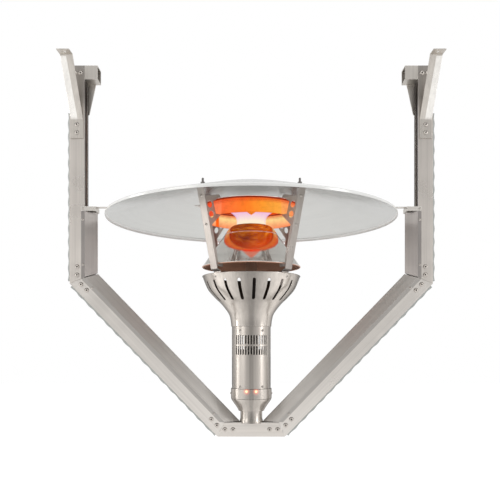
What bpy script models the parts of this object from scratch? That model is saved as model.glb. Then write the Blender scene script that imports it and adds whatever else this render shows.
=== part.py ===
"""Hanging gas patio heater: a head under a wide reflector, held in a strut frame that hangs from a ceiling.

Metres, +Z up. The origin is on the head's axis at the underside of the frame's bottom tray. X runs across
the frame, and the front, with the service cover and the indicator lenses, faces -Y.
"""
import math

import bmesh
import bpy
from mathutils import Matrix, Vector

for stale in list(bpy.data.objects):
    bpy.data.objects.remove(stale, do_unlink=True)

# General values
CLEARANCE = 0.0003          # between pieces that touch
OVERRUN = 0.004             # how far a cutter passes the face that it cuts
SHEET = 0.0012              # formed stainless sheet of the covers

# Frame: arms, diagonals and tray
FRAME_HALF_WIDTH = 0.526    # head axis to the outer faces of the arms
FRAME_HEIGHT = 1.075        # underside of the tray to the tops of the arms
FRAME_DEPTH = 0.0434        # front to back, the same for arms, diagonals and tray
ARM_WIDTH = 0.0434          # arms and diagonals, seen from the front
ELBOW_HEIGHT = 0.4436       # outer corner where an arm meets its diagonal
TRAY_HALF_LENGTH = 0.0977   # at the tray's underside
TRAY_HEIGHT = 0.0413
STRUT_WALL = 0.0025
STRUT_LIP = 0.0095          # lips that turn in at the open side
PLATE_LEG = 0.052           # joint plates reach this far each way from a mitre
PLATE_WALL = 0.002

# Raceway covers, V-shaped, on the inner side
RACEWAY_NOSE = 0.032        # how far the nose stands off the strut
RACEWAY_LAP = 0.0098        # lips lapped on the strut's faces
RACEWAY_END_GAP = 0.0012    # half the gap between two covers at the elbow

# Scalloped outer strips
STRIP_DROP = 0.129          # of the arm strip's upper end below the arm's top
STRIP_WIDTH = 0.036
BUMP_PITCH = 0.046
BUMP_LENGTH = 0.028
BUMP_RISE = 0.0062
BUMP_CHAMFER = 0.005
STRIP_END = 0.012           # plain length at each end of a strip

# Top stubs and their gussets
STUB_LENGTH = 0.037
STUB_HEIGHT = 0.040
GUSSET_HEIGHT = 0.089
GUSSET_REACH = 0.0225
GUSSET_TIP = 0.003          # width left at the lower end

# Ceiling straps
STRAP_WIDTH = 0.035
STRAP_THICKNESS = 0.003
STRAP_TAB_LENGTH = 0.0553   # of the tab that lies on the arm
STRAP_TAB_DROP = 0.1562     # of its upper end below the arm's top
STRAP_FOOT_RISE = 0.0085    # of the foot's top face over the arm's top
STRAP_FORWARD = 0.056       # the strap leans this far forward
STRAP_SPLAY = 0.015         # and this far outward
FOOT_LENGTH = 0.032
FOOT_HOLE_RADIUS = 0.0045
FOOT_HOLE_SHARE = 0.55      # of the foot's length, from its heel

# Reflector brackets and straps
BRACKET_RISE = 0.0166       # of its underside over the reflector's rim
BRACKET_HEIGHT = 0.0128
BRACKET_SHEET = 0.0015
TIE_WIDTH = 0.020           # flat strap that ties the reflector to a bracket
TIE_THICKNESS = 0.0015
TIE_EDGE = 0.0085           # from the reflector's rim to the knee where it turns down
TIE_FOOT = 0.014            # length that lies on the reflector

# Screws: head radius and head height
FRAME_SCREW = (0.0052, 0.0028)
LIP_SCREW = (0.0028, 0.0014)
COVER_SCREW = (0.0030, 0.0016)
LEG_SCREW = (0.0032, 0.0018)
SCREW_BITE = 0.0005
HEAD_TOP_SHARE = 0.85       # width of a head's top to its foot
MITRE_SCREW_NEAR = 0.016    # first screw from a mitre, along the strut
MITRE_SCREW_STEP = 0.0235
TRAY_SCREW_NEAR = 0.0125
STUB_SCREW_DROP = 0.0215    # below the arm's top
STUB_SCREW_OFFSET = 0.0055  # of the outer one from the arm's middle
STUB_SCREW_STEP = 0.0155
STRAP_SCREW_STEP = 0.0232
LIP_SCREW_NEAR = 0.046      # small screw on a raceway lip, from the elbow
LIP_SCREW_END = 0.0252      # and the one at the cover's upper end, from that end

# Services inside the frame
PIPE_RADIUS = 0.0064
CONDUIT_RADIUS = 0.0048
SERVICE_BEND = 0.045        # bend radius of both
SERVICE_SIDE_STEP = 0.0125  # distance between pipe and conduit in the neck
TRAY_PLATE_HALF_LENGTH = 0.064
TRAY_PLATE_THICKNESS = 0.0025
TRAY_PLATE_DROP = 0.003     # below the tops of the tray's walls

# Neck, cup and collar
NECK_FOOT_RADIUS = 0.0344
NECK_RADIUS = 0.0322
NECK_WALL = 0.002
NECK_FLARE = 0.0134         # height of the flare at its foot
NECK_LENGTH = 0.0356        # from its foot to the cup
NECK_MOUTH = 0.0205         # opening in its foot for the pipe and the conduit
NECK_NOTCH = 0.0015         # gap round it in the raceway covers
CUP_HEIGHT = 0.0358
CUP_BOTTOM_RADIUS = 0.0379
CUP_TOP_RADIUS = 0.0590
CUP_WAIST_RISE = 0.0133     # of the waist over the cup's bottom
CUP_WAIST_RADIUS = 0.0450
COLLAR_HEIGHT = 0.0295
COLLAR_RADIUS = 0.0597
HEAD_WALL = 0.0015          # wall of cup, collar, housing and bowl
LENS_RADIUS = 0.0035
LENS_DROP = 0.0060          # below the collar's top
LENS_OFFSET = 0.0137
LENS_LENGTH = 0.0046

# Housing
HOUSING_RADIUS = 0.0567
HOUSING_SHOULDER = 0.0115   # height of its ring over the front cover
HOUSING_RING_RADIUS = 0.0518   # bore of the rings at both ends
HOUSING_RING_HEIGHT = 0.012
COVER_HEIGHT = 0.179        # front service cover, from the collar up
COVER_HALF_ANGLE = 57.0
COVER_SEAM_ANGLE = 0.6
COVER_SCREW_ANGLE = 34.0
COVER_SCREW_INSET = 0.0060
AIR_SLOT_DROP = 0.0245      # of the upper row's top below the cover's top
AIR_SLOT_HIGH_LENGTH = 0.0270
AIR_SLOT_ROW_GAP = 0.0043
AIR_SLOT_LOW_LENGTH = 0.0253
AIR_SLOT_ANGLE = 8.1
AIR_SLOT_WIDTH = 0.0043

# Bowl
BOWL_HEIGHT = 0.1471        # from its skirt to its rim
BOWL_RIM_RADIUS = 0.142
BOWL_BEAD = 0.0035          # the rolled lip
BOWL_SKIRT_GAP = 0.0011     # over the front cover's top
BOWL_SLOTS = 20
BOWL_SLOT_TURN = 3.5        # degrees that the first slot is off the front
BOWL_SLOT_DROP = 0.0177     # of the slots' tops below the rim
BOWL_SLOT_LENGTH = 0.0565
BOWL_SLOT_WIDTH = 0.0066
# Radius and height of the bowl's outer side as shares of the way from the skirt to the rim
BOWL_SHAPE_SHARES = ((0.03, 0.14), (0.10, 0.26), (0.325, 0.43), (0.575, 0.57), (0.81, 0.725), (0.95, 0.90))

# Cone and legs
CONE_OVERHANG = 0.0004      # of its rim over the bowl's
CONE_GAP = 0.0273           # from the bowl's rim up to the cone's
CONE_SHOULDER_RADIUS = 0.062
CONE_RISE = 0.112           # from its rim to its shoulder
CONE_TOP_RADIUS = 0.0550
CONE_CROWN = 0.0045         # from its shoulder to its top
CONE_WALL = 0.001
CONE_HOLE_RADIUS = 0.0500
LEG_TOP_RADIUS = 0.198
LEG_KNEE_OUT = 0.0038       # of the knee outside the bowl's rim
LEG_KNEE_RISE = 0.0098      # of the knee over the bowl's rim
LEG_FOOT_INSET = 0.0085     # of the foot inside the bowl's rim
LEG_BEND_RISE = 0.0038      # of the bend over the bowl's rim
LEG_FOOT_DROP = 0.0177      # of the foot's end below the bowl's rim
LEG_WIDTH = 0.026
LEG_SHEET = 0.002
LEG_TAB = 0.022
LEG_AZIMUTHS = {"front_left": -135.0, "front_right": -45.0, "rear_left": 135.0, "rear_right": 45.0}
WEB_REACH = 0.0030          # of the web's hook and lug inside the emitter ring
WEB_HEEL_DROP = 0.0116      # of the web's upper edge at the strap, below its crest
WEB_CREST_OUT = 0.0055      # of the crest outside the ring
WEB_LUG_HEIGHT = 0.0050     # of the lug's rounded end
WEB_THROAT_HIGH = 0.0235    # of the notch outside the ring, at its top
WEB_THROAT_LOW = 0.0137     # and at its bottom
WEB_THROAT_DROP = 0.0219    # of the notch's upper corner below the crest
WEB_HOOK_HEIGHT = 0.0026    # of the hook's end
WEB_MERGE_DROP = 0.0856     # below the crest, where the web has narrowed to a flange
WEB_FLANGE = 0.010
CONE_TAB_HEIGHT = 0.010     # tab at the web's lower end, under the cone's rim
CONE_TAB_LENGTH = 0.018
HIGH_HOLE_DROP = 0.0316     # of the web's two holes below the crest
LOW_HOLE_DROP = 0.0581
WEB_HOLE_INSET = 0.0145     # of both from the strap's outer face
WEB_HOLE_RADIUS = 0.0095
BOWL_SCREW_DROP = 0.0105    # below the bowl's rim
HIGH_SCREW_DROP = 0.0096    # of the two screws in each leg below the crest
LOW_SCREW_DROP = 0.0856

# Upper emitter
EMITTER_RADIUS = 0.1365
EMITTER_WALL = 0.0015
EMITTER_GAP = 0.0169        # from the cone's top to its lower edge
EMITTER_HEIGHT = 0.0438
EMITTER_PLATE = 0.0015
EMITTER_BRIM = 0.0012       # of the top plate past the ring
WEB_CREST_RISE = 0.0086     # of the webs' crests over the top plate

# Reflector
REFLECTOR_GAP = 0.0316      # from its rim to the noses of the raceway covers
REFLECTOR_RISE = 0.02779    # of its crown over the webs' crests
REFLECTOR_SLOPE = 0.285
REFLECTOR_SHEET = 0.001
REFLECTOR_CROWN_RADIUS = 0.165
REFLECTOR_LIP = 0.007
STUD_RADIUS = 0.0030
STUD_HEAD_RADIUS = 0.0060
STUD_HEAD = 0.0035
STUD_NUT = 0.0045
STUD_RISE = 0.0180          # of the tip above the reflector

# Wing nut on the left front leg
WING_DROP = 0.0336          # below the web's crest
WING_INSET = 0.0069         # of its screw from the strap's outer face
EAR_HALF_HEIGHT = 0.0090    # of the ear that the screw passes
EAR_REACH = 0.0125
WING_STUD_RADIUS = 0.0024
WING_STUD_LENGTH = 0.0150
WING_BODY_RADIUS = 0.0050
WING_BODY_LENGTH = 0.0060
WING_SPAN = 0.0145
WING_THICKNESS = 0.0018
WING_CROWN_SHARE = 0.8      # width of the body's top to its foot
WING_STANDOFF = 0.0012
CLAMP_HEAD_RADIUS = 0.0038

# Burner and gas train
MIXER_RADIUS = 0.0165
MIXER_WALL = 0.0012
MIXER_GAP = 0.0163          # from the injector's tip up to its mouth
MIXER_MOUTH_RADIUS = 0.0215
MIXER_MOUTH_HEIGHT = 0.008
MIXER_PORTS = 4
MIXER_PORT_WIDTH = 0.0075
MIXER_PORT_RISE = 0.0160    # of the ports over the mouth
MIXER_PORT_LENGTH = 0.0180
SHUTTER_WALL = 0.0010
SHUTTER_LAP = 0.0035        # past the ports, above and below
SHUTTER_TAB = 0.009
SHUTTER_GAP = 0.0004
BURNER_RADIUS = 0.040
BURNER_WALL = 0.0015
BURNER_DEPTH = 0.043        # of its floor below the cone's top
BURNER_RISE = 0.0025        # of the top over the cone's top
BURNER_FLANGE = 0.0530
BURNER_SOCKET = 0.010
PORT_RING = 0.024           # radius of the circle of flame ports
PORT_COUNT = 10
PORT_RADIUS = 0.0030
ELECTRODE_RADIUS = 0.0030
ELECTRODE_ORBIT = 0.0455
ELECTRODE_SINK = 0.028      # of its lower end below the cone's top
ELECTRODE_RISE = 0.011      # of its shoulder over the cone's top
ELECTRODE_TIP_RADIUS = 0.0010
ELECTRODE_TIP = 0.014
ELECTRODE_ANGLES = {"igniter_electrode": 125.0, "flame_sensor": 55.0}
SUPPORT_GAP = 0.0070        # from the shutter to the spider plate that centres the mixer tube
SUPPORT_THICKNESS = 0.002
SUPPORT_SPOKE = 0.012
SUPPORT_HUB = 0.006
SUPPORT_ANGLES = (-70.0, 70.0, 180.0)   # of its spokes, from the front
CHASSIS_THICKNESS = 0.002
VALVE_WIDTH = 0.050
VALVE_DEPTH = 0.042
VALVE_HEIGHT = 0.058
VALVE_BACK_STEP = 0.004     # the valve stands this far in front of the axis
OUTLET_RADIUS = 0.0085
OUTLET_HEIGHT = 0.009
INJECTOR_RADIUS = 0.0062
INJECTOR_HEIGHT = 0.016
INJECTOR_TIP_RADIUS = 0.0028
COIL_RADIUS = 0.0068
COIL_HEIGHT = 0.0165
COIL_BORE = 0.0052
COIL_SIDE_STEP = 0.0155     # from the axis
PLUNGER_CLEARANCE = 0.0002
PLUNGER_SINK = 0.0125
PLUNGER_RISE = 0.0020       # of the plunger over the coil at rest
BOARD_SIZE = (0.058, 0.0016, 0.082)
BOARD_STEP = 0.036          # behind the axis
CHIP_SIZE = (0.016, 0.006, 0.012)
RELAY_SIZE = (0.014, 0.010, 0.018)
# Places of the parts on the board, as shares of its width and height
BOARD_PARTS_SHARE = ((-0.25, 0.30, RELAY_SIZE), (0.20, 0.25, CHIP_SIZE), (0.20, 0.55, RELAY_SIZE),
                     (-0.25, 0.70, CHIP_SIZE))

WIDE_SIDES = 56             # sides of the widest round pieces
ROUND = 32
FINE = 16
SMALL = 8

Y_AXIS = Vector((0.0, 1.0, 0.0))
Z_AXIS = Vector((0.0, 0.0, 1.0))
STUD_ORBIT = LEG_TOP_RADIUS - LEG_TAB / 2
HALF_DEPTH = FRAME_DEPTH / 2
HALF_WIDTH = ARM_WIDTH / 2
ARM_X = FRAME_HALF_WIDTH - HALF_WIDTH
REFLECTOR_RADIUS = FRAME_HALF_WIDTH - ARM_WIDTH - RACEWAY_NOSE - REFLECTOR_GAP
CONE_RIM_RADIUS = BOWL_RIM_RADIUS + CONE_OVERHANG
LEG_KNEE_RADIUS = BOWL_RIM_RADIUS + LEG_KNEE_OUT
LEG_FOOT_RADIUS = BOWL_RIM_RADIUS - LEG_FOOT_INSET

# Heights, from the tray up the head and then down from the arms' tops
NECK_SEAT = TRAY_HEIGHT - TRAY_PLATE_DROP + CLEARANCE
NECK_FLARE_TOP = NECK_SEAT + NECK_FLARE
CUP_BOTTOM = NECK_SEAT + NECK_LENGTH
CUP_WAIST = CUP_BOTTOM + CUP_WAIST_RISE
CUP_TOP = CUP_BOTTOM + CUP_HEIGHT
COLLAR_TOP = CUP_TOP + COLLAR_HEIGHT
LENS_HEIGHT = COLLAR_TOP - LENS_DROP
CHASSIS_FLOOR = COLLAR_TOP + HOUSING_RING_HEIGHT + 2 * CLEARANCE
COVER_TOP = COLLAR_TOP + COVER_HEIGHT
HOUSING_TOP = COVER_TOP + HOUSING_SHOULDER
AIR_SLOT_TOP = COVER_TOP - AIR_SLOT_DROP
AIR_SLOT_MIDDLE = AIR_SLOT_TOP - AIR_SLOT_HIGH_LENGTH
AIR_SLOT_NEXT = AIR_SLOT_MIDDLE - AIR_SLOT_ROW_GAP
AIR_SLOT_ROWS = ((AIR_SLOT_MIDDLE, AIR_SLOT_TOP), (AIR_SLOT_NEXT - AIR_SLOT_LOW_LENGTH, AIR_SLOT_NEXT))
BOWL_SKIRT_BOTTOM = COVER_TOP + BOWL_SKIRT_GAP
BOWL_RIM_HEIGHT = BOWL_SKIRT_BOTTOM + BOWL_HEIGHT
BOWL_SLOT_HIGH = BOWL_RIM_HEIGHT - BOWL_SLOT_DROP
BOWL_SLOT_LOW = BOWL_SLOT_HIGH - BOWL_SLOT_LENGTH
LEG_KNEE_HEIGHT = BOWL_RIM_HEIGHT + LEG_KNEE_RISE
LEG_FOOT_BEND = BOWL_RIM_HEIGHT + LEG_BEND_RISE
LEG_FOOT_LOW = BOWL_RIM_HEIGHT - LEG_FOOT_DROP
CONE_RIM_HEIGHT = BOWL_RIM_HEIGHT + CONE_GAP
CONE_SHOULDER_HEIGHT = CONE_RIM_HEIGHT + CONE_RISE
CONE_TOP_HEIGHT = CONE_SHOULDER_HEIGHT + CONE_CROWN
EMITTER_LOW = CONE_TOP_HEIGHT + EMITTER_GAP
EMITTER_HIGH = EMITTER_LOW + EMITTER_HEIGHT
PLATE_TOP = EMITTER_HIGH + CLEARANCE + EMITTER_PLATE
WEB_TOP = PLATE_TOP + WEB_CREST_RISE
WEB_MERGE = WEB_TOP - WEB_MERGE_DROP
WING_HEIGHT = WEB_TOP - WING_DROP
REFLECTOR_CROWN_HEIGHT = WEB_TOP + REFLECTOR_RISE
REFLECTOR_RIM_HEIGHT = REFLECTOR_CROWN_HEIGHT - (REFLECTOR_RADIUS - REFLECTOR_CROWN_RADIUS) * REFLECTOR_SLOPE
RACEWAY_TOP = REFLECTOR_RIM_HEIGHT + BRACKET_RISE
INJECTOR_SEAT = CHASSIS_FLOOR + CHASSIS_THICKNESS + VALVE_HEIGHT + OUTLET_HEIGHT + 2 * CLEARANCE
MIXER_LOW = INJECTOR_SEAT + INJECTOR_HEIGHT + MIXER_GAP
MIXER_PORT_LOW = MIXER_LOW + MIXER_PORT_RISE
MIXER_PORT_HIGH = MIXER_PORT_LOW + MIXER_PORT_LENGTH
SHUTTER_LOW = MIXER_PORT_LOW - SHUTTER_LAP
SHUTTER_HIGH = MIXER_PORT_HIGH + SHUTTER_LAP
SUPPORT_HEIGHT = SHUTTER_HIGH + SUPPORT_GAP
BURNER_LOW = CONE_TOP_HEIGHT - BURNER_DEPTH
ELECTRODE_LOW = CONE_TOP_HEIGHT - ELECTRODE_SINK
ELECTRODE_HIGH = CONE_TOP_HEIGHT + ELECTRODE_RISE
STRIP_TOP = FRAME_HEIGHT - STRIP_DROP
STRAP_FOOT_HEIGHT = FRAME_HEIGHT + STRAP_FOOT_RISE
STRAP_TAB_HIGH = FRAME_HEIGHT - STRAP_TAB_DROP
STRAP_TAB_LOW = STRAP_TAB_HIGH - STRAP_TAB_LENGTH
SIDES = {"left": -1, "right": 1}

# Materials

FINISHES = {
    "stainless": ((0.62, 0.60, 0.57), 0.32, 1.0),
    "light_stainless": ((0.74, 0.73, 0.71), 0.36, 1.0),
    "dark_strut": ((0.20, 0.19, 0.18), 0.50, 1.0),
    "grey_strip": ((0.50, 0.52, 0.50), 0.55, 0.4),
    "polished": ((0.78, 0.78, 0.77), 0.12, 1.0),
    "aluminium": ((0.80, 0.81, 0.80), 0.40, 1.0),
    "screw_steel": ((0.55, 0.53, 0.50), 0.30, 1.0),
    "brass": ((0.72, 0.55, 0.28), 0.30, 1.0),
    "copper": ((0.70, 0.42, 0.30), 0.35, 1.0),
    "black_plastic": ((0.03, 0.03, 0.03), 0.50, 0.0),
    "board_green": ((0.04, 0.20, 0.09), 0.55, 0.0),
    "ceramic": ((0.88, 0.86, 0.80), 0.40, 0.0),
    "hot_mesh": ((0.95, 0.36, 0.08), 0.60, 0.3),
    "lens": ((1.00, 0.42, 0.12), 0.20, 0.0),
}


def finish(name):
    """One Principled material for one piece."""
    colour, roughness, metallic = FINISHES[name]
    material = bpy.data.materials.new(name)
    material.use_nodes = True
    shader = material.node_tree.nodes["Principled BSDF"]
    shader.inputs["Base Color"].default_value = (*colour, 1.0)
    shader.inputs["Roughness"].default_value = roughness
    shader.inputs["Metallic"].default_value = metallic
    material.diffuse_color = (*colour, 1.0)
    return material


# Building blocks

def add_object(name, bm, material=None, smooth=False, origin=None):
    """Close a bmesh off as one object, its origin moved to a joint's axis where one is given."""
    bmesh.ops.recalc_face_normals(bm, faces=bm.faces)
    if origin is not None:
        bmesh.ops.translate(bm, vec=-Vector(origin), verts=bm.verts)
    mesh = bpy.data.meshes.new(name)
    bm.to_mesh(mesh)
    bm.free()
    if smooth:
        mesh.shade_smooth()
        mesh.set_sharp_from_angle(angle=math.radians(40))
    obj = bpy.data.objects.new(name, mesh)
    bpy.context.scene.collection.objects.link(obj)
    if origin is not None:
        obj.location = origin
    if material:
        mesh.materials.append(finish(material))
    return obj


def cut(obj, bm, operation="DIFFERENCE"):
    """Cut a bmesh out of an object, or join it on, with a hidden cutter."""
    cutter = add_object(obj.name + "_" + operation.lower(), bm)
    cutter.hide_render = True
    cutter.display_type = "WIRE"
    modifier = obj.modifiers.new(operation.title(), "BOOLEAN")
    modifier.operation = operation
    modifier.solver = "EXACT"
    modifier.object = cutter


def sheet_outline(points, thickness):
    """A closed outline round a folded sheet: the open line of points, then its offset to the left."""
    points = [Vector(point) for point in points]
    offset = []
    for index, point in enumerate(points):
        normals = []
        if index > 0:
            step = (point - points[index - 1]).normalized()
            normals.append(Vector((-step.y, step.x)))
        if index < len(points) - 1:
            step = (points[index + 1] - point).normalized()
            normals.append(Vector((-step.y, step.x)))
        mean = sum(normals, Vector((0.0, 0.0))).normalized()
        offset.append(point + mean * thickness / mean.dot(normals[0]))
    return points + offset[::-1]


def prism(bm, ring_a, ring_b):
    """A closed solid between two rings that have the same number of points."""
    low = [bm.verts.new(point) for point in ring_a]
    high = [bm.verts.new(point) for point in ring_b]
    bm.faces.new(low)
    bm.faces.new(high[::-1])
    count = len(low)
    for index in range(count):
        after = (index + 1) % count
        bm.faces.new((low[index], high[index], high[after], low[after]))


def slab(bm, outline, low, high, matrix=None):
    """An outline in the local XY plane, between two local heights."""
    matrix = matrix or Matrix.Identity(4)
    prism(bm, [matrix @ Vector((x, y, low)) for x, y in outline],
          [matrix @ Vector((x, y, high)) for x, y in outline])


def box(bm, low, high, matrix=None):
    """A block between two corners."""
    outline = [(low[0], low[1]), (high[0], low[1]), (high[0], high[1]), (low[0], high[1])]
    slab(bm, outline, low[2], high[2], matrix)


def side_box(bm, side, across, deep, up):
    """A block on one side of the frame, from its ranges across, in depth and in height."""
    ends = sorted((side * across[0], side * across[1]))
    box(bm, (ends[0], deep[0], up[0]), (ends[1], deep[1], up[1]))


def circle(radius, count, centre=(0.0, 0.0)):
    """Points on a circle."""
    steps = [2 * math.pi * index / count for index in range(count)]
    return [(centre[0] + radius * math.cos(step), centre[1] + radius * math.sin(step)) for step in steps]


def turned(bm, profile, count, matrix=None, start=0.0, sweep=360.0):
    """Turn a closed profile of (radius, height) points about the local Z axis."""
    matrix = matrix or Matrix.Identity(4)
    full = sweep >= 360.0
    rings = []
    for index in range(count if full else count + 1):
        angle = math.radians(start + sweep * index / count)
        rings.append((math.cos(angle), math.sin(angle)))
    columns = []
    for radius, height in profile:
        if radius <= 0.0:
            point = bm.verts.new(matrix @ Vector((0.0, 0.0, height)))
            columns.append([point] * len(rings))
        else:
            column = [matrix @ Vector((radius * c, radius * s, height)) for c, s in rings]
            columns.append([bm.verts.new(point) for point in column])
    for index, column in enumerate(columns):
        after = columns[(index + 1) % len(columns)]
        for turn in range(len(rings) if full else len(rings) - 1):
            onward = (turn + 1) % len(rings)
            corners = [column[turn], column[onward], after[onward], after[turn]]
            corners = [c for i, c in enumerate(corners) if c not in corners[:i]]
            if len(corners) > 2:
                bm.faces.new(corners)
    if not full:
        bm.faces.new([column[0] for column in columns])
        bm.faces.new([column[-1] for column in columns])


def frame_at(position, axis):
    """A matrix whose local Z axis lies along an axis, at a position."""
    return Matrix.Translation(position) @ Vector(axis).to_track_quat("Z", "Y").to_matrix().to_4x4()


def bar(bm, section, path, side, start_normal=None, end_normal=None):
    """Sweep a section of (inward, depth) points along a path in the frame's plane, mitred at its corners."""
    rings = []
    for index, point in enumerate(path):
        before = (point - path[index - 1]).normalized() if index > 0 else None
        after = (path[index + 1] - point).normalized() if index < len(path) - 1 else None
        along = after or before
        normal = (before + after).normalized() if before and after else along
        if index == 0 and start_normal:
            normal = start_normal
        if index == len(path) - 1 and end_normal:
            normal = end_normal
        inward = Y_AXIS.cross(along) * side
        ring = []
        for step, depth in section:
            place = point + inward * step + Y_AXIS * depth
            ring.append(place + along * (normal.dot(point - place) / normal.dot(along)))
        rings.append([bm.verts.new(place) for place in ring])
    bm.faces.new(rings[0])
    bm.faces.new(rings[-1][::-1])
    for low, high in zip(rings, rings[1:]):
        for index in range(len(low)):
            after = (index + 1) % len(low)
            bm.faces.new((low[index], high[index], high[after], low[after]))


def meet(point, direction, plane_point, normal):
    """Where a line meets a plane."""
    return point + direction * (normal.dot(plane_point - point) / normal.dot(direction))


def screw_head(bm, position, axis, size):
    """A low domed head that bites a little into the face under it."""
    radius, height = size
    profile = [(0.0, -SCREW_BITE), (radius, -SCREW_BITE), (radius * HEAD_TOP_SHARE, height), (0.0, height)]
    turned(bm, profile, SMALL, frame_at(Vector(position), axis))


def add_screws(obj, places, size):
    """Join screw heads on an object: each place is a position on a face and the way the face looks."""
    bm = bmesh.new()
    for position, axis in places:
        screw_head(bm, position, axis, size)
    cut(obj, bm, "UNION")


def both_faces(point):
    """A point's two places on the front and back faces of the frame, with the way each face looks."""
    return [(point + Y_AXIS * facing * HALF_DEPTH, Y_AXIS * facing) for facing in (-1, 1)]


def both_laps(point, sheet):
    """The same on a sheet lapped over those faces."""
    face = HALF_DEPTH + CLEARANCE + sheet
    return [(point + Y_AXIS * facing * face, Y_AXIS * facing) for facing in (-1, 1)]


def tube_run(name, points, radius, material, sides_resolution=2):
    """A tube along a line of points, as a curve with filled ends turned into a mesh."""
    curve = bpy.data.curves.new(name, "CURVE")
    curve.dimensions = "3D"
    curve.bevel_depth = radius
    curve.bevel_resolution = sides_resolution
    curve.use_fill_caps = True
    spline = curve.splines.new("POLY")
    spline.points.add(len(points) - 1)
    for point, place in zip(spline.points, points):
        point.co = (*place, 1.0)
    obj = bpy.data.objects.new(name, curve)
    bpy.context.scene.collection.objects.link(obj)
    curve.materials.append(finish(material))
    return obj


def rounded(corners, radius, steps=5):
    """A line of points through corners, each corner rounded with an arc."""
    points = [corners[0]]
    for before, corner, after in zip(corners, corners[1:], corners[2:]):
        into = (before - corner).normalized()
        out = (after - corner).normalized()
        half = into.angle(out) / 2
        reach = radius / math.tan(half)
        centre = corner + (into + out).normalized() * (radius / math.sin(half))
        first = (corner + into * reach - centre).normalized()
        last = (corner + out * reach - centre).normalized()
        for step in range(steps + 1):
            points.append(centre + first.slerp(last, step / steps) * radius)
    points.append(corners[-1])
    return points


# Lines of the frame

def side_lines(side):
    """Directions and corner planes of one side of the frame."""
    lines = {}
    lines["down"] = Vector((0.0, 0.0, -1.0))
    outer_elbow = Vector((side * FRAME_HALF_WIDTH, 0.0, ELBOW_HEIGHT))
    outer_foot = Vector((side * TRAY_HALF_LENGTH, 0.0, 0.0))
    lines["slant"] = (outer_foot - outer_elbow).normalized()
    lines["inward"] = Y_AXIS.cross(lines["slant"]) * side
    lines["elbow_normal"] = (lines["down"] + lines["slant"]).normalized()
    lines["foot_normal"] = (lines["slant"] + Vector((-side, 0.0, 0.0))).normalized()
    arm_line = Vector((side * ARM_X, 0.0, FRAME_HEIGHT))
    slant_line = outer_elbow + lines["inward"] * HALF_WIDTH
    lines["arm_top"] = arm_line
    lines["elbow"] = meet(arm_line, lines["down"], outer_elbow, lines["elbow_normal"])
    lines["foot"] = meet(slant_line, lines["slant"], outer_foot, lines["foot_normal"])
    lines["tray_end"] = meet(Vector((0.0, 0.0, TRAY_HEIGHT / 2)), Vector((side, 0.0, 0.0)),
                             outer_foot, lines["foot_normal"])
    lines["outer_elbow"] = outer_elbow
    lines["outer_foot"] = outer_foot
    return lines


def strut_section():
    """C-shaped strut, open inward, with lips."""
    w, d, t, lip = HALF_WIDTH, HALF_DEPTH, STRUT_WALL, STRUT_LIP
    return [(-w, -d), (w, -d), (w, -d + lip), (w - t, -d + lip), (w - t, -d + t), (-w + t, -d + t),
            (-w + t, d - t), (w - t, d - t), (w - t, d - lip), (w, d - lip), (w, d), (-w, d)]


def raceway_section():
    """V-shaped cover with a lip on each face of the strut."""
    lip_face = HALF_DEPTH + CLEARANCE
    line = [(HALF_WIDTH - RACEWAY_LAP, lip_face), (HALF_WIDTH + CLEARANCE, lip_face),
            (HALF_WIDTH + RACEWAY_NOSE - SHEET, 0.0),
            (HALF_WIDTH + CLEARANCE, -lip_face), (HALF_WIDTH - RACEWAY_LAP, -lip_face)]
    return sheet_outline(line, SHEET)


def neck_space(gap, low, high):
    """Cutter round the neck's foot."""
    bm = bmesh.new()
    half_turn = Matrix.Rotation(math.pi / ROUND, 4, "Z")
    slab(bm, circle(NECK_FOOT_RADIUS + gap, ROUND), low, high, half_turn)
    return bm


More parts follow.
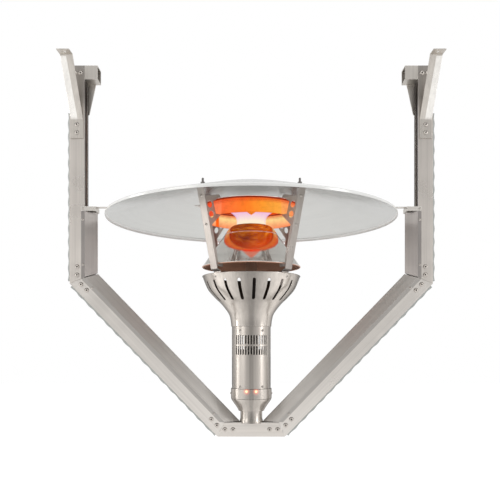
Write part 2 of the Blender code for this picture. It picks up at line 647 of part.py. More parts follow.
def make_frame_side(label, side):
    """Arm, diagonal, their covers and strips, and the joint plates of one side."""
    lines = side_lines(side)
    down, slant = lines["down"], lines["slant"]
    elbow, foot = lines["elbow"], lines["foot"]

    bm = bmesh.new()
    path = [lines["arm_top"], elbow - down * CLEARANCE]
    bar(bm, strut_section(), path, side, end_normal=lines["elbow_normal"])
    arm = add_object("arm_strut_" + label, bm, "stainless")
    mitre_steps = (MITRE_SCREW_NEAR, MITRE_SCREW_NEAR + MITRE_SCREW_STEP)
    places = []
    for step in mitre_steps:
        places += both_faces(elbow - down * step)
    for offset in (STUB_SCREW_OFFSET, STUB_SCREW_OFFSET - STUB_SCREW_STEP):
        places += both_faces(Vector((side * (ARM_X + offset), 0.0, FRAME_HEIGHT - STUB_SCREW_DROP)))
    add_screws(arm, places, FRAME_SCREW)

    bm = bmesh.new()
    bar(bm, strut_section(), [elbow + slant * CLEARANCE, foot - slant * CLEARANCE], side,
        lines["elbow_normal"], lines["foot_normal"])
    diagonal = add_object("diagonal_strut_" + label, bm, "stainless")
    places = []
    for step in mitre_steps:
        places += both_faces(elbow + slant * step) + both_faces(foot - slant * step)
    add_screws(diagonal, places, FRAME_SCREW)

    bm = bmesh.new()
    top = Vector((side * ARM_X, 0.0, RACEWAY_TOP))
    bar(bm, raceway_section(), [top, elbow - down * RACEWAY_END_GAP], side, end_normal=lines["elbow_normal"])
    cover = add_object("arm_raceway_" + label, bm, "stainless")
    edge = HALF_WIDTH - RACEWAY_LAP / 2
    arm_lip = Vector((side * (ARM_X - edge), 0.0, 0.0))
    places = []
    for height in (elbow.z + LIP_SCREW_NEAR, RACEWAY_TOP - LIP_SCREW_END):
        places += both_laps(arm_lip + Z_AXIS * height, SHEET)
    add_screws(cover, places, LIP_SCREW)

    bm = bmesh.new()
    cover_end = meet(elbow, slant, Vector((0.0, 0.0, TRAY_HEIGHT + RACEWAY_END_GAP)), Z_AXIS)
    path = [elbow + slant * RACEWAY_END_GAP, cover_end]
    bar(bm, raceway_section(), path, side, lines["elbow_normal"], Z_AXIS)
    cover = add_object("diagonal_raceway_" + label, bm, "stainless")
    cut(cover, neck_space(NECK_NOTCH, TRAY_HEIGHT / 2, CUP_BOTTOM))
    slant_lip = lines["inward"] * edge
    places = both_laps(elbow + slant_lip + slant * LIP_SCREW_NEAR, SHEET)
    places += both_laps(foot + slant_lip - slant * LIP_SCREW_NEAR, SHEET)
    add_screws(cover, places, LIP_SCREW)

    strip_top = Vector((side * FRAME_HALF_WIDTH, 0.0, STRIP_TOP))
    make_strip("arm_strip_" + label, strip_top, lines["outer_elbow"], side)
    make_strip("diagonal_strip_" + label, lines["outer_elbow"], lines["outer_foot"], side)

    reach = HALF_WIDTH - STRUT_WALL - CLEARANCE
    depth = HALF_DEPTH - STRUT_WALL - CLEARANCE
    t = PLATE_WALL
    section = [(-reach, -depth), (reach, -depth), (reach, -depth + t), (-reach + t, -depth + t),
               (-reach + t, depth - t), (reach, depth - t), (reach, depth), (-reach, depth)]
    bm = bmesh.new()
    bar(bm, section, [elbow - down * PLATE_LEG, elbow, elbow + slant * PLATE_LEG], side)
    add_object("elbow_joint_plate_" + label, bm, "dark_strut")


def make_strip(name, start, end, side):
    """Scalloped strip along an outer face: flat sheet with a row of raised bridges."""
    along = (end - start).normalized()
    outward = Y_AXIS.cross(along) * -side
    length = (end - start).length
    count = int((length - 2 * STRIP_END + BUMP_PITCH - BUMP_LENGTH) / BUMP_PITCH)
    line = [(STRIP_END / 4, CLEARANCE)]
    first = (length - (count - 1) * BUMP_PITCH - BUMP_LENGTH) / 2
    for index in range(count):
        begin = first + index * BUMP_PITCH
        finish_at = begin + BUMP_LENGTH
        line += [(begin, CLEARANCE), (begin + BUMP_CHAMFER, CLEARANCE + BUMP_RISE),
                 (finish_at - BUMP_CHAMFER, CLEARANCE + BUMP_RISE), (finish_at, CLEARANCE)]
    line.append((length - STRIP_END / 4, CLEARANCE))
    outline = sheet_outline(line, SHEET)
    half = STRIP_WIDTH / 2
    bm = bmesh.new()
    prism(bm, [start + along * s + outward * a - Y_AXIS * half for s, a in outline],
          [start + along * s + outward * a + Y_AXIS * half for s, a in outline])
    add_object(name, bm, "grey_strip")


def make_tray():
    """Bottom tray, its joint plates and the plate that carries the neck."""
    right, left = side_lines(1), side_lines(-1)
    h, d, t = TRAY_HEIGHT / 2, HALF_DEPTH, STRUT_WALL
    section = [(-h, -d), (h, -d), (h, -d + t), (-h + t, -d + t),
               (-h + t, d - t), (h, d - t), (h, d), (-h, d)]
    step = Vector((CLEARANCE, 0.0, 0.0))
    bm = bmesh.new()
    bar(bm, section, [right["tray_end"] - step, left["tray_end"] + step], 1,
        right["foot_normal"], left["foot_normal"] * -1)
    tray = add_object("bottom_tray", bm, "stainless")
    places = []
    for side, lines in ((1, right), (-1, left)):
        for inset in (TRAY_SCREW_NEAR, TRAY_SCREW_NEAR + MITRE_SCREW_STEP):
            places += both_faces(lines["tray_end"] - Vector((side * inset, 0.0, 0.0)))
    add_screws(tray, places, FRAME_SCREW)
    cut(tray, neck_space(2 * CLEARANCE, TRAY_HEIGHT - TRAY_PLATE_DROP, TRAY_HEIGHT + OVERRUN))

    length = TRAY_PLATE_HALF_LENGTH
    width = HALF_DEPTH - STRUT_WALL - CLEARANCE
    top = TRAY_HEIGHT - TRAY_PLATE_DROP
    low = top - TRAY_PLATE_THICKNESS
    bm = bmesh.new()
    box(bm, (-length, -width, low), (length, width, top))
    plate = add_object("tray_mounting_plate", bm, "stainless")
    bm = bmesh.new()
    for offset, radius in ((-SERVICE_SIDE_STEP, PIPE_RADIUS), (SERVICE_SIDE_STEP, CONDUIT_RADIUS)):
        slab(bm, circle(radius + CLEARANCE, FINE, (offset, 0.0)), low - OVERRUN, top + OVERRUN)
    cut(plate, bm)


# Top of the arms

def make_top(label, side):
    """Stub with gusset, ceiling strap, reflector bracket and tie of one side."""
    inner = FRAME_HALF_WIDTH - ARM_WIDTH
    start = inner - CLEARANCE
    end = start - STUB_LENGTH
    low = FRAME_HEIGHT - STUB_HEIGHT
    bm = bmesh.new()
    side_box(bm, side, (start, end), (-HALF_DEPTH, HALF_DEPTH), (low, FRAME_HEIGHT))
    stub = add_object("top_stub_" + label, bm, "stainless")
    bm = bmesh.new()
    wall = STRUT_WALL
    side_box(bm, side, (start + OVERRUN, end - OVERRUN), (-HALF_DEPTH + wall, HALF_DEPTH - wall),
             (low + wall, FRAME_HEIGHT - wall))
    cut(stub, bm)

    outline = [(side * start, low + STRUT_WALL), (side * (start - GUSSET_REACH), low + STRUT_WALL),
               (side * (start - GUSSET_REACH), low), (side * (start - GUSSET_TIP), low - GUSSET_HEIGHT),
               (side * start, low - GUSSET_HEIGHT)]
    bm = bmesh.new()
    prism(bm, [Vector((x, HALF_DEPTH - STRUT_WALL, z)) for x, z in outline],
          [Vector((x, HALF_DEPTH, z)) for x, z in outline])
    cut(stub, bm, "UNION")

    make_ceiling_strap(label, side)
    make_bracket(label, side, inner)


def make_ceiling_strap(label, side):
    """Flat strap on the arm's front that leans forward and ends in a foot under the ceiling."""
    face = -HALF_DEPTH - CLEARANCE
    lean = math.hypot(STRAP_FOOT_HEIGHT - STRAP_TAB_HIGH, STRAP_FORWARD)
    heel = face - STRAP_FORWARD
    line = [(face, STRAP_TAB_LOW), (face, STRAP_TAB_HIGH), (heel, STRAP_FOOT_HEIGHT),
            (heel - FOOT_LENGTH, STRAP_FOOT_HEIGHT)]
    splay_at_end = STRAP_SPLAY * (1 + FOOT_LENGTH / lean / 2)
    shifts = [0.0, 0.0, STRAP_SPLAY, splay_at_end]
    outline = sheet_outline(line, STRAP_THICKNESS)
    shifts = shifts + shifts[::-1]
    rings = []
    for half in (-STRAP_WIDTH / 2, STRAP_WIDTH / 2):
        ring = []
        for (y, z), shift in zip(outline, shifts):
            ring.append(Vector((side * (ARM_X + shift) + half, y, z)))
        rings.append(ring)
    bm = bmesh.new()
    prism(bm, rings[0], rings[1])
    strap = add_object("ceiling_strap_" + label, bm, "light_stainless")
    bm = bmesh.new()
    hole_y = heel - FOOT_LENGTH * FOOT_HOLE_SHARE
    slab(bm, circle(FOOT_HOLE_RADIUS, FINE, (side * (ARM_X + STRAP_SPLAY), hole_y)),
         STRAP_FOOT_HEIGHT - STRAP_THICKNESS - OVERRUN, STRAP_FOOT_HEIGHT + OVERRUN)
    cut(strap, bm)
    middle = (STRAP_TAB_LOW + STRAP_TAB_HIGH) / 2
    places = []
    for rise in (-STRAP_SCREW_STEP / 2, STRAP_SCREW_STEP / 2):
        places.append(((side * ARM_X, face - STRAP_THICKNESS, middle + rise), (0.0, -1.0, 0.0)))
    add_screws(strap, places, FRAME_SCREW)


def make_bracket(label, side, inner):
    """Cap over the raceway's upper end, and the flat strap that ties the reflector to it."""
    t = BRACKET_SHEET
    low = RACEWAY_TOP + CLEARANCE
    high = low + BRACKET_HEIGHT
    face = HALF_DEPTH + CLEARANCE
    tip = inner - RACEWAY_NOSE
    lap = inner + RACEWAY_LAP
    bm = bmesh.new()
    side_box(bm, side, (tip, lap), (-face - t, face + t), (low, high))
    bracket = add_object("reflector_bracket_" + label, bm, "light_stainless")
    bm = bmesh.new()
    side_box(bm, side, (tip + t, lap + OVERRUN), (-face, face), (low - OVERRUN, high - t))
    cut(bracket, bm)
    bm = bmesh.new()
    side_box(bm, side, (inner - CLEARANCE, lap + OVERRUN), (-face, face),
             (high - t - OVERRUN, high + OVERRUN))
    cut(bracket, bm)
    cap = Vector((side * (lap - RACEWAY_LAP / 2), 0.0, (low + high) / 2))
    add_screws(bracket, both_laps(cap, t), LIP_SCREW)

    rest = high + CLEARANCE
    outer_end = inner - CLEARANCE - TIE_WIDTH / 4
    landing = REFLECTOR_RADIUS - TIE_EDGE
    foot_end = landing - TIE_FOOT
    drop_to = reflector_top(landing - TIE_FOOT / 2) + CLEARANCE
    knee = landing + (rest - drop_to) / 2
    line = [(outer_end, rest), (knee, rest), (landing, reflector_top(landing) + 2 * CLEARANCE),
            (foot_end, reflector_top(foot_end) + 2 * CLEARANCE)]
    outline = sheet_outline([(-x, z) for x, z in line], TIE_THICKNESS)
    outline = [(-side * x, z) for x, z in outline]
    bm = bmesh.new()
    prism(bm, [Vector((x, -TIE_WIDTH / 2, z)) for x, z in outline],
          [Vector((x, TIE_WIDTH / 2, z)) for x, z in outline])
    add_object("reflector_tie_" + label, bm, "light_stainless")


def make_services():
    """Gas pipe down the left side and wiring conduit down the right, both up into the head."""
    for side, radius, name, material in ((-1, PIPE_RADIUS, "gas_supply_pipe", "copper"),
                                         (1, CONDUIT_RADIUS, "wiring_conduit", "black_plastic")):
        lines = side_lines(side)
        inset = STRUT_WALL + PLATE_WALL + radius + 3 * CLEARANCE
        low = inset
        step = Vector((side * (HALF_WIDTH - inset), 0.0, 0.0))
        arm_top = lines["arm_top"] - Vector((0.0, 0.0, STUB_HEIGHT)) + step
        shift = -lines["inward"] * (HALF_WIDTH - inset)
        elbow = meet(arm_top, lines["down"], lines["foot"] + shift, lines["inward"])
        foot = meet(elbow, lines["slant"], Vector((0.0, 0.0, low)), Z_AXIS)
        rise_x = side * SERVICE_SIDE_STEP
        corners = [arm_top, elbow, foot, Vector((rise_x, 0.0, low))]
        points = rounded(corners, SERVICE_BEND)
        points = points[:-1]
        top = Vector((rise_x, 0.0, CHASSIS_FLOOR - CLEARANCE))
        turn = rounded([points[-1], Vector((rise_x, 0.0, low)), top], radius * 3)
        tube_run(name, points + turn[1:-1] + [top], radius, material)


# Neck, cup, collar and housing

def make_neck():
    """Neck tube with its foot flange, the tapered cup and the collar with two lenses."""
    seat = NECK_SEAT
    top = CUP_BOTTOM - CLEARANCE
    inner = NECK_RADIUS - NECK_WALL
    bm = bmesh.new()
    turned(bm, [(NECK_FOOT_RADIUS, seat), (NECK_RADIUS, NECK_FLARE_TOP), (NECK_RADIUS, top), (inner, top),
                (inner, seat + NECK_WALL), (NECK_MOUTH, seat + NECK_WALL), (NECK_MOUTH, seat)], ROUND)
    add_object("neck_tube", bm, "stainless", smooth=True)

    t = HEAD_WALL
    bm = bmesh.new()
    turned(bm, [(CUP_BOTTOM_RADIUS, CUP_BOTTOM), (CUP_WAIST_RADIUS, CUP_WAIST), (CUP_TOP_RADIUS, CUP_TOP),
                (CUP_TOP_RADIUS - t, CUP_TOP), (CUP_WAIST_RADIUS - t, CUP_WAIST + t / 2),
                (CUP_BOTTOM_RADIUS - t, CUP_BOTTOM + t), (NECK_RADIUS - NECK_WALL * 3, CUP_BOTTOM + t),
                (NECK_RADIUS - NECK_WALL * 3, CUP_BOTTOM)], ROUND)
    add_object("base_cup", bm, "stainless", smooth=True)

    low = CUP_TOP + CLEARANCE
    inner = COLLAR_RADIUS - t
    step = CUP_TOP_RADIUS - t
    bm = bmesh.new()
    turned(bm, [(COLLAR_RADIUS, low), (COLLAR_RADIUS, COLLAR_TOP), (HOUSING_RING_RADIUS, COLLAR_TOP),
                (HOUSING_RING_RADIUS, COLLAR_TOP - t), (inner, COLLAR_TOP - t), (inner, low + t),
                (step, low + t), (step, low)], ROUND)
    collar = add_object("indicator_collar", bm, "stainless", smooth=True)
    hole_bm = bmesh.new()
    for label, side in SIDES.items():
        offset = side * LENS_OFFSET
        angle = math.asin(offset / COLLAR_RADIUS)
        axis = Vector((math.sin(angle), -math.cos(angle), 0.0))
        face = axis * COLLAR_RADIUS + Z_AXIS * (LENS_HEIGHT - CLEARANCE)
        profile = [(0.0, -LENS_LENGTH), (LENS_RADIUS, -LENS_LENGTH), (LENS_RADIUS, 0.0),
                   (LENS_RADIUS * 0.75, LENS_RADIUS * 0.35), (0.0, LENS_RADIUS * 0.5)]
        lens_bm = bmesh.new()
        turned(lens_bm, profile, FINE // 2, frame_at(face, axis))
        add_object("indicator_lens_" + label, lens_bm, "lens", smooth=True)
        reach = LENS_RADIUS + CLEARANCE
        profile = [(0.0, -LENS_LENGTH), (reach, -LENS_LENGTH), (reach, OVERRUN), (0.0, OVERRUN)]
        turned(hole_bm, profile, FINE // 2, frame_at(face, axis))
    cut(collar, hole_bm)
    middle = Z_AXIS * (CUP_TOP + COLLAR_TOP) / 2
    sideways = [Vector((side, 0.0, 0.0)) for side in SIDES.values()]
    add_screws(collar, [(axis * COLLAR_RADIUS + middle, axis) for axis in sideways], COVER_SCREW)


def radial_matrix(angle):
    """Local X points outward at an angle in degrees from the front, local Z stays up."""
    return Matrix.Rotation(math.radians(angle - 90), 4, "Z")


def air_slots(angles):
    """Cutter for the two rows of upright slots."""
    bm = bmesh.new()
    half = AIR_SLOT_WIDTH / 2
    for angle in angles:
        for low, high in AIR_SLOT_ROWS:
            box(bm, (HOUSING_RADIUS - OVERRUN, -half, low), (HOUSING_RADIUS + OVERRUN, half, high),
                radial_matrix(angle))
    return bm


def make_housing():
    """Rear housing shell and the front service cover, both with air slots."""
    low = COLLAR_TOP + CLEARANCE
    outer = HOUSING_RADIUS
    inner = outer - HEAD_WALL
    ring = HOUSING_RING_HEIGHT
    ring_top = COVER_TOP - ring
    bm = bmesh.new()
    turned(bm, [(outer, low), (outer, HOUSING_TOP), (inner, HOUSING_TOP), (inner, COVER_TOP),
                (HOUSING_RING_RADIUS, COVER_TOP), (HOUSING_RING_RADIUS, ring_top), (inner, ring_top),
                (inner, low + ring), (HOUSING_RING_RADIUS, low + ring), (HOUSING_RING_RADIUS, low)], ROUND)
    housing = add_object("rear_housing", bm, "stainless", smooth=True)
    rear_angles = [180 + AIR_SLOT_ANGLE * index for index in range(-13, 14)]
    cut(housing, air_slots(rear_angles))
    opening = COVER_HALF_ANGLE + COVER_SEAM_ANGLE
    bm = bmesh.new()
    turned(bm, [(inner - CLEARANCE, low - OVERRUN), (outer + OVERRUN, low - OVERRUN),
                (outer + OVERRUN, COVER_TOP + CLEARANCE), (inner - CLEARANCE, COVER_TOP + CLEARANCE)],
           FINE, start=-90 - opening, sweep=2 * opening)
    cut(housing, bm)

    bm = bmesh.new()
    turned(bm, [(outer, low), (outer, COVER_TOP), (inner, COVER_TOP), (inner, low)], FINE,
           start=-90 - COVER_HALF_ANGLE, sweep=2 * COVER_HALF_ANGLE)
    cover = add_object("front_service_cover", bm, "light_stainless", smooth=True)
    cut(cover, air_slots([AIR_SLOT_ANGLE * index for index in range(-6, 7)]))

    places = []
    for angle in (-COVER_SCREW_ANGLE, COVER_SCREW_ANGLE):
        axis = radial_matrix(angle) @ Vector((1.0, 0.0, 0.0))
        for height in (low + COVER_SCREW_INSET, COVER_TOP - 2 * COVER_SCREW_INSET):
            places.append((axis * outer + Z_AXIS * height, axis))
    add_screws(cover, places, COVER_SCREW)


# Bowl and cone

def bowl_outline():
    """Outer side of the bowl from the skirt's bottom to the rim, as (radius, height)."""
    skirt = HOUSING_RADIUS + CLEARANCE + HEAD_WALL
    width = BOWL_RIM_RADIUS - skirt
    height = BOWL_RIM_HEIGHT - BOWL_SKIRT_BOTTOM
    points = [(skirt, BOWL_SKIRT_BOTTOM)]
    for out, up in BOWL_SHAPE_SHARES:
        points.append((skirt + width * out, BOWL_SKIRT_BOTTOM + height * up))
    points.append((BOWL_RIM_RADIUS - BOWL_BEAD, BOWL_RIM_HEIGHT - BOWL_BEAD))
    return points


def smooth_line(points, steps):
    """A smooth line through points that are read as a Catmull-Rom curve."""
    points = [Vector(point) for point in points]
    ends = [points[0] * 2 - points[1]] + points + [points[-1] * 2 - points[-2]]
    line = []
    for before, start, end, after in zip(ends, ends[1:], ends[2:], ends[3:]):
        slope = end - before
        bend = 2 * before - 5 * start + 4 * end - after
        twist = 3 * start - before - 3 * end + after
        for step in range(steps):
            t = step / steps
            line.append(start + (slope * t + bend * t ** 2 + twist * t ** 3) / 2)
    line.append(points[-1])
    return [(point.x, point.y) for point in line]


def bowl_radius(height):
    """Outer radius of the bowl at a height."""
    line = smooth_line(bowl_outline(), 1)
    for (r_low, z_low), (r_high, z_high) in zip(line, line[1:]):
        if z_low <= height <= z_high:
            return r_low + (r_high - r_low) * (height - z_low) / (z_high - z_low)
    return BOWL_RIM_RADIUS


def outward(azimuth):
    """Level direction away from the axis, at degrees from +X."""
    return Vector((math.cos(math.radians(azimuth)), math.sin(math.radians(azimuth)), 0.0))


def make_bowl():
    """Slotted bowl with a rolled lip."""
    line = smooth_line(bowl_outline(), 1)
    bead = [(BOWL_RIM_RADIUS, BOWL_RIM_HEIGHT - BOWL_BEAD * 0.7),
            (BOWL_RIM_RADIUS, BOWL_RIM_HEIGHT - BOWL_BEAD * 0.2),
            (BOWL_RIM_RADIUS - BOWL_BEAD * 0.4, BOWL_RIM_HEIGHT)]
    inner = sheet_outline(line, HEAD_WALL)[len(line):]
    inner[0] = Vector((BOWL_RIM_RADIUS - BOWL_BEAD - HEAD_WALL, BOWL_RIM_HEIGHT))
    bm = bmesh.new()
    turned(bm, line + bead + [(point.x, point.y) for point in inner], ROUND)
    bowl = add_object("slotted_bowl", bm, "stainless", smooth=True)
    bm = bmesh.new()
    half = BOWL_SLOT_WIDTH / 2
    for index in range(BOWL_SLOTS):
        angle = BOWL_SLOT_TURN + 360 * index / BOWL_SLOTS
        box(bm, (HOUSING_RADIUS + OVERRUN, -half, BOWL_SLOT_LOW),
            (BOWL_RIM_RADIUS + OVERRUN, half, BOWL_SLOT_HIGH), radial_matrix(angle))
    cut(bowl, bm)
    places = []
    height = BOWL_RIM_HEIGHT - BOWL_SCREW_DROP
    for azimuth in LEG_AZIMUTHS.values():
        out = outward(azimuth)
        places.append((out * bowl_radius(height) + Z_AXIS * height, out))
    add_screws(bowl, places, LEG_SCREW)


def make_cone():
    """Polished cone over the bowl, open below, with a round hole for the burner."""
    t = CONE_WALL
    line = [(CONE_RIM_RADIUS, CONE_RIM_HEIGHT), (CONE_SHOULDER_RADIUS, CONE_SHOULDER_HEIGHT),
            (CONE_TOP_RADIUS + (CONE_SHOULDER_RADIUS - CONE_TOP_RADIUS) * 0.4, CONE_TOP_HEIGHT - t),
            (CONE_TOP_RADIUS, CONE_TOP_HEIGHT), (CONE_HOLE_RADIUS, CONE_TOP_HEIGHT)]
    bm = bmesh.new()
    turned(bm, [tuple(point) for point in sheet_outline(line, t)], ROUND)
    add_object("polished_cone", bm, "polished", smooth=True)


# Legs

def reflector_top(radius):
    """Height of the reflector's upper face."""
    return REFLECTOR_CROWN_HEIGHT - (radius - REFLECTOR_CROWN_RADIUS) * REFLECTOR_SLOPE


def reflector_under(radius):
    """Height of the reflector's lower face."""
    return reflector_top(radius) - REFLECTOR_SHEET * math.hypot(1.0, REFLECTOR_SLOPE)


def leg_matrix(azimuth, hand):
    """Local X outward, local Y up, local Z along the leg's width towards its web."""
    out = outward(azimuth)
    across = out.cross(Z_AXIS) * hand
    return Matrix((out, Z_AXIS, across)).transposed().to_4x4()


def leg_line():
    """Outer face of the folded strap, from the tab under the reflector to the foot in the bowl."""
    gap = 2 * CLEARANCE
    return [(LEG_TOP_RADIUS - LEG_TAB, reflector_under(LEG_TOP_RADIUS - LEG_TAB) - gap),
            (LEG_TOP_RADIUS, reflector_under(LEG_TOP_RADIUS) - gap),
            (LEG_KNEE_RADIUS, LEG_KNEE_HEIGHT), (LEG_FOOT_RADIUS, LEG_FOOT_BEND),
            (LEG_FOOT_RADIUS, LEG_FOOT_LOW)]


def leg_radius(height):
    """Outer radius of the straight part of a leg."""
    top = leg_line()[1]
    return top[0] - (top[1] - height) * (top[0] - LEG_KNEE_RADIUS) / (top[1] - LEG_KNEE_HEIGHT)


def make_leg(label, azimuth):
    """A folded strap with a gusset web, notched round the emitter ring that it carries on its hook."""
    hand = -1 if label.endswith("left") else 1
    if label.startswith("rear"):
        hand = -hand
    matrix = leg_matrix(azimuth, hand)
    half = LEG_WIDTH / 2
    line = leg_line()
    bm = bmesh.new()
    slab(bm, sheet_outline(line[::-1], LEG_SHEET), -half, half, matrix)
    leg = add_object("leg_" + label, bm, "stainless")
    bite = LEG_SHEET / 2
    cone_run = CONE_RIM_RADIUS - CONE_SHOULDER_RADIUS
    cone_rise = CONE_SHOULDER_HEIGHT - CONE_RIM_HEIGHT
    seat = CONE_RIM_HEIGHT - CONE_WALL * cone_run / math.hypot(cone_run, cone_rise) - CLEARANCE
    beside = CONE_RIM_RADIUS + 3 * CLEARANCE
    under = seat - CONE_TAB_HEIGHT
    heel = WEB_TOP - WEB_HEEL_DROP
    tip = EMITTER_RADIUS - WEB_REACH
    hook = EMITTER_LOW - CLEARANCE
    lug = PLATE_TOP + CLEARANCE
    brim = EMITTER_RADIUS + EMITTER_BRIM + CLEARANCE
    outline = [(leg_radius(heel) - bite, heel), (EMITTER_RADIUS + WEB_CREST_OUT, WEB_TOP),
               (tip, lug + WEB_LUG_HEIGHT), (tip, lug), (brim, lug),
               (EMITTER_RADIUS + WEB_THROAT_HIGH, WEB_TOP - WEB_THROAT_DROP),
               (EMITTER_RADIUS + WEB_THROAT_LOW, hook), (tip, hook), (tip, hook - WEB_HOOK_HEIGHT),
               (leg_radius(WEB_MERGE) - WEB_FLANGE, WEB_MERGE),
               (beside, seat + CONE_TAB_HEIGHT), (beside, seat), (CONE_RIM_RADIUS - CONE_TAB_LENGTH, seat),
               (CONE_RIM_RADIUS - CONE_TAB_LENGTH, under), (leg_radius(under) - bite, under)]
    bm = bmesh.new()
    slab(bm, outline, half - LEG_SHEET - CLEARANCE, half - CLEARANCE, matrix)
    if label == "front_left":
        slab(bm, ear_outline(), CLEARANCE - half, CLEARANCE - half + LEG_SHEET, matrix)
    cut(leg, bm, "UNION")
    bm = bmesh.new()
    for height in (WEB_TOP - HIGH_HOLE_DROP, WEB_TOP - LOW_HOLE_DROP):
        hole = circle(WEB_HOLE_RADIUS, FINE, (leg_radius(height) - WEB_HOLE_INSET, height))
        slab(bm, hole, half - LEG_SHEET - OVERRUN, half + OVERRUN, matrix)
    stud_hole(bm, azimuth)
    if label == "front_left":
        hole = circle(WING_STUD_RADIUS + CLEARANCE, FINE // 2)
        slab(bm, hole, -OVERRUN, OVERRUN, wing_matrix())
    cut(leg, bm)
    out = outward(azimuth)
    top = line[1]
    lean = math.atan2(top[0] - LEG_KNEE_RADIUS, top[1] - LEG_KNEE_HEIGHT)
    normal = out * math.cos(lean) - Z_AXIS * math.sin(lean)
    places = []
    for height in (WEB_TOP - HIGH_SCREW_DROP, WEB_TOP - LOW_SCREW_DROP):
        places.append((out * leg_radius(height) + Z_AXIS * height, normal))
    add_screws(leg, places, LEG_SCREW)


def stud_hole(bm, azimuth):
    """Cutter for the stud that passes a leg's tab and the reflector."""
    low = reflector_under(STUD_ORBIT) - OVERRUN - LEG_SHEET
    high = reflector_top(STUD_ORBIT) + OVERRUN
    hole = circle(STUD_RADIUS + CLEARANCE, FINE // 2, (STUD_ORBIT, 0.0))
    slab(bm, hole, low, high, Matrix.Rotation(math.radians(azimuth), 4, "Z"))


def make_studs():
    """Bolt and nut that clamp the reflector on each leg's tab."""
    under_tab = reflector_under(STUD_ORBIT) - 2 * CLEARANCE - LEG_SHEET * math.hypot(1.0, REFLECTOR_SLOPE)
    tilt = STUD_HEAD_RADIUS * REFLECTOR_SLOPE
    head = under_tab - CLEARANCE - tilt
    nut = reflector_top(STUD_ORBIT) + CLEARANCE + tilt
    nut_top = nut + STUD_NUT
    tip = reflector_top(STUD_ORBIT) + STUD_RISE
    profile = [(0.0, head - STUD_HEAD), (STUD_HEAD_RADIUS, head - STUD_HEAD), (STUD_HEAD_RADIUS, head),
               (STUD_RADIUS, head), (STUD_RADIUS, nut), (STUD_HEAD_RADIUS, nut), (STUD_HEAD_RADIUS, nut_top),
               (STUD_RADIUS, nut_top), (STUD_RADIUS, tip - STUD_RADIUS / 2), (STUD_RADIUS / 2, tip),
               (0.0, tip)]
    for label, azimuth in LEG_AZIMUTHS.items():
        bm = bmesh.new()
        turned(bm, profile, SMALL, Matrix.Translation(outward(azimuth) * STUD_ORBIT))
        add_object("reflector_stud_" + label, bm, "screw_steel", smooth=True)


def ear_outline():
    """The ear behind the left front leg's outer edge, as points outward and up."""
    high = WING_HEIGHT + EAR_HALF_HEIGHT
    low = WING_HEIGHT - EAR_HALF_HEIGHT
    bite = LEG_SHEET / 2
    return [(leg_radius(high) - bite, high), (leg_radius(high) - EAR_REACH, high),
            (leg_radius(low) - EAR_REACH, low), (leg_radius(low) - bite, low)]


def wing_matrix():
    """Local Z along the wing nut's screw, away from the outer face of the left front leg's ear."""
    out = outward(LEG_AZIMUTHS["front_left"])
    sideways = out.cross(Z_AXIS)
    place = out * (leg_radius(WING_HEIGHT) - WING_INSET) + Z_AXIS * WING_HEIGHT
    return frame_at(place + sideways * (LEG_WIDTH / 2 - CLEARANCE), sideways)


def make_clamp_screw():
    """Screw through the left front leg's ear, its head on the inner side."""
    seat = -LEG_SHEET - CLEARANCE
    back = seat - STUD_HEAD
    head = CLAMP_HEAD_RADIUS
    bm = bmesh.new()
    turned(bm, [(0.0, back), (head, back), (head, seat), (WING_STUD_RADIUS, seat),
                (WING_STUD_RADIUS, WING_STUD_LENGTH), (0.0, WING_STUD_LENGTH)], SMALL, wing_matrix())
    add_object("clamp_screw", bm, "screw_steel", smooth=True)


def make_wing_nut():
    """Wing nut that turns on the clamp screw."""
    matrix = wing_matrix()
    bore = WING_STUD_RADIUS + 2 * CLEARANCE
    low = WING_STANDOFF + CLEARANCE
    high = low + WING_BODY_LENGTH
    bm = bmesh.new()
    crown = WING_BODY_RADIUS * WING_CROWN_SHARE
    turned(bm, [(WING_BODY_RADIUS, low), (crown, high), (bore, high), (bore, low)], SMALL, matrix)
    nut = add_object("wing_nut", bm, "screw_steel", smooth=True, origin=matrix.translation)
    bm = bmesh.new()
    thick = WING_THICKNESS / 2
    for side in (-1, 1):
        outline = [(crown, low + WING_BODY_LENGTH * 0.2), (WING_SPAN, high + WING_BODY_LENGTH * 0.4),
                   (WING_SPAN, high + WING_BODY_LENGTH), (WING_SPAN * 0.7, high + WING_BODY_LENGTH),
                   (crown, high)]
        prism(bm, [matrix @ Vector((side * x, -thick, z)) for x, z in outline],
              [matrix @ Vector((side * x, thick, z)) for x, z in outline])
    cut(nut, bm, "UNION")


# Emitter and reflector

def make_emitter():
    """Glowing ring that stands on the webs' hooks, and its top plate under their lugs."""
    low, high = EMITTER_LOW, EMITTER_HIGH
    inner = EMITTER_RADIUS - EMITTER_WALL
    bm = bmesh.new()
    turned(bm, [(EMITTER_RADIUS, low), (EMITTER_RADIUS, high), (inner, high), (inner, low)], WIDE_SIDES)
    add_object("upper_emitter_ring", bm, "hot_mesh", smooth=True)
    bm = bmesh.new()
    slab(bm, circle(EMITTER_RADIUS + EMITTER_BRIM, WIDE_SIDES), high + CLEARANCE, PLATE_TOP)
    add_object("emitter_top_plate", bm, "dark_strut", smooth=True)


def make_reflector():
    """Shallow spun reflector with a flat crown and a turned-down lip."""
    crown = REFLECTOR_CROWN_HEIGHT
    rim = reflector_top(REFLECTOR_RADIUS)
    line = [(0.0, crown), (REFLECTOR_CROWN_RADIUS, crown), (REFLECTOR_RADIUS, rim),
            (REFLECTOR_RADIUS, rim - REFLECTOR_LIP)]
    backwards = [(-radius, height) for radius, height in line]
    under = [(-point.x, point.y) for point in sheet_outline(backwards, REFLECTOR_SHEET)[len(line):]]
    under[-1] = (0.0, crown - REFLECTOR_SHEET)
    bm = bmesh.new()
    turned(bm, line + under, WIDE_SIDES)
    reflector = add_object("reflector", bm, "aluminium", smooth=True)
    bm = bmesh.new()
    for azimuth in LEG_AZIMUTHS.values():
        stud_hole(bm, azimuth)
    cut(reflector, bm)


# Burner and gas train

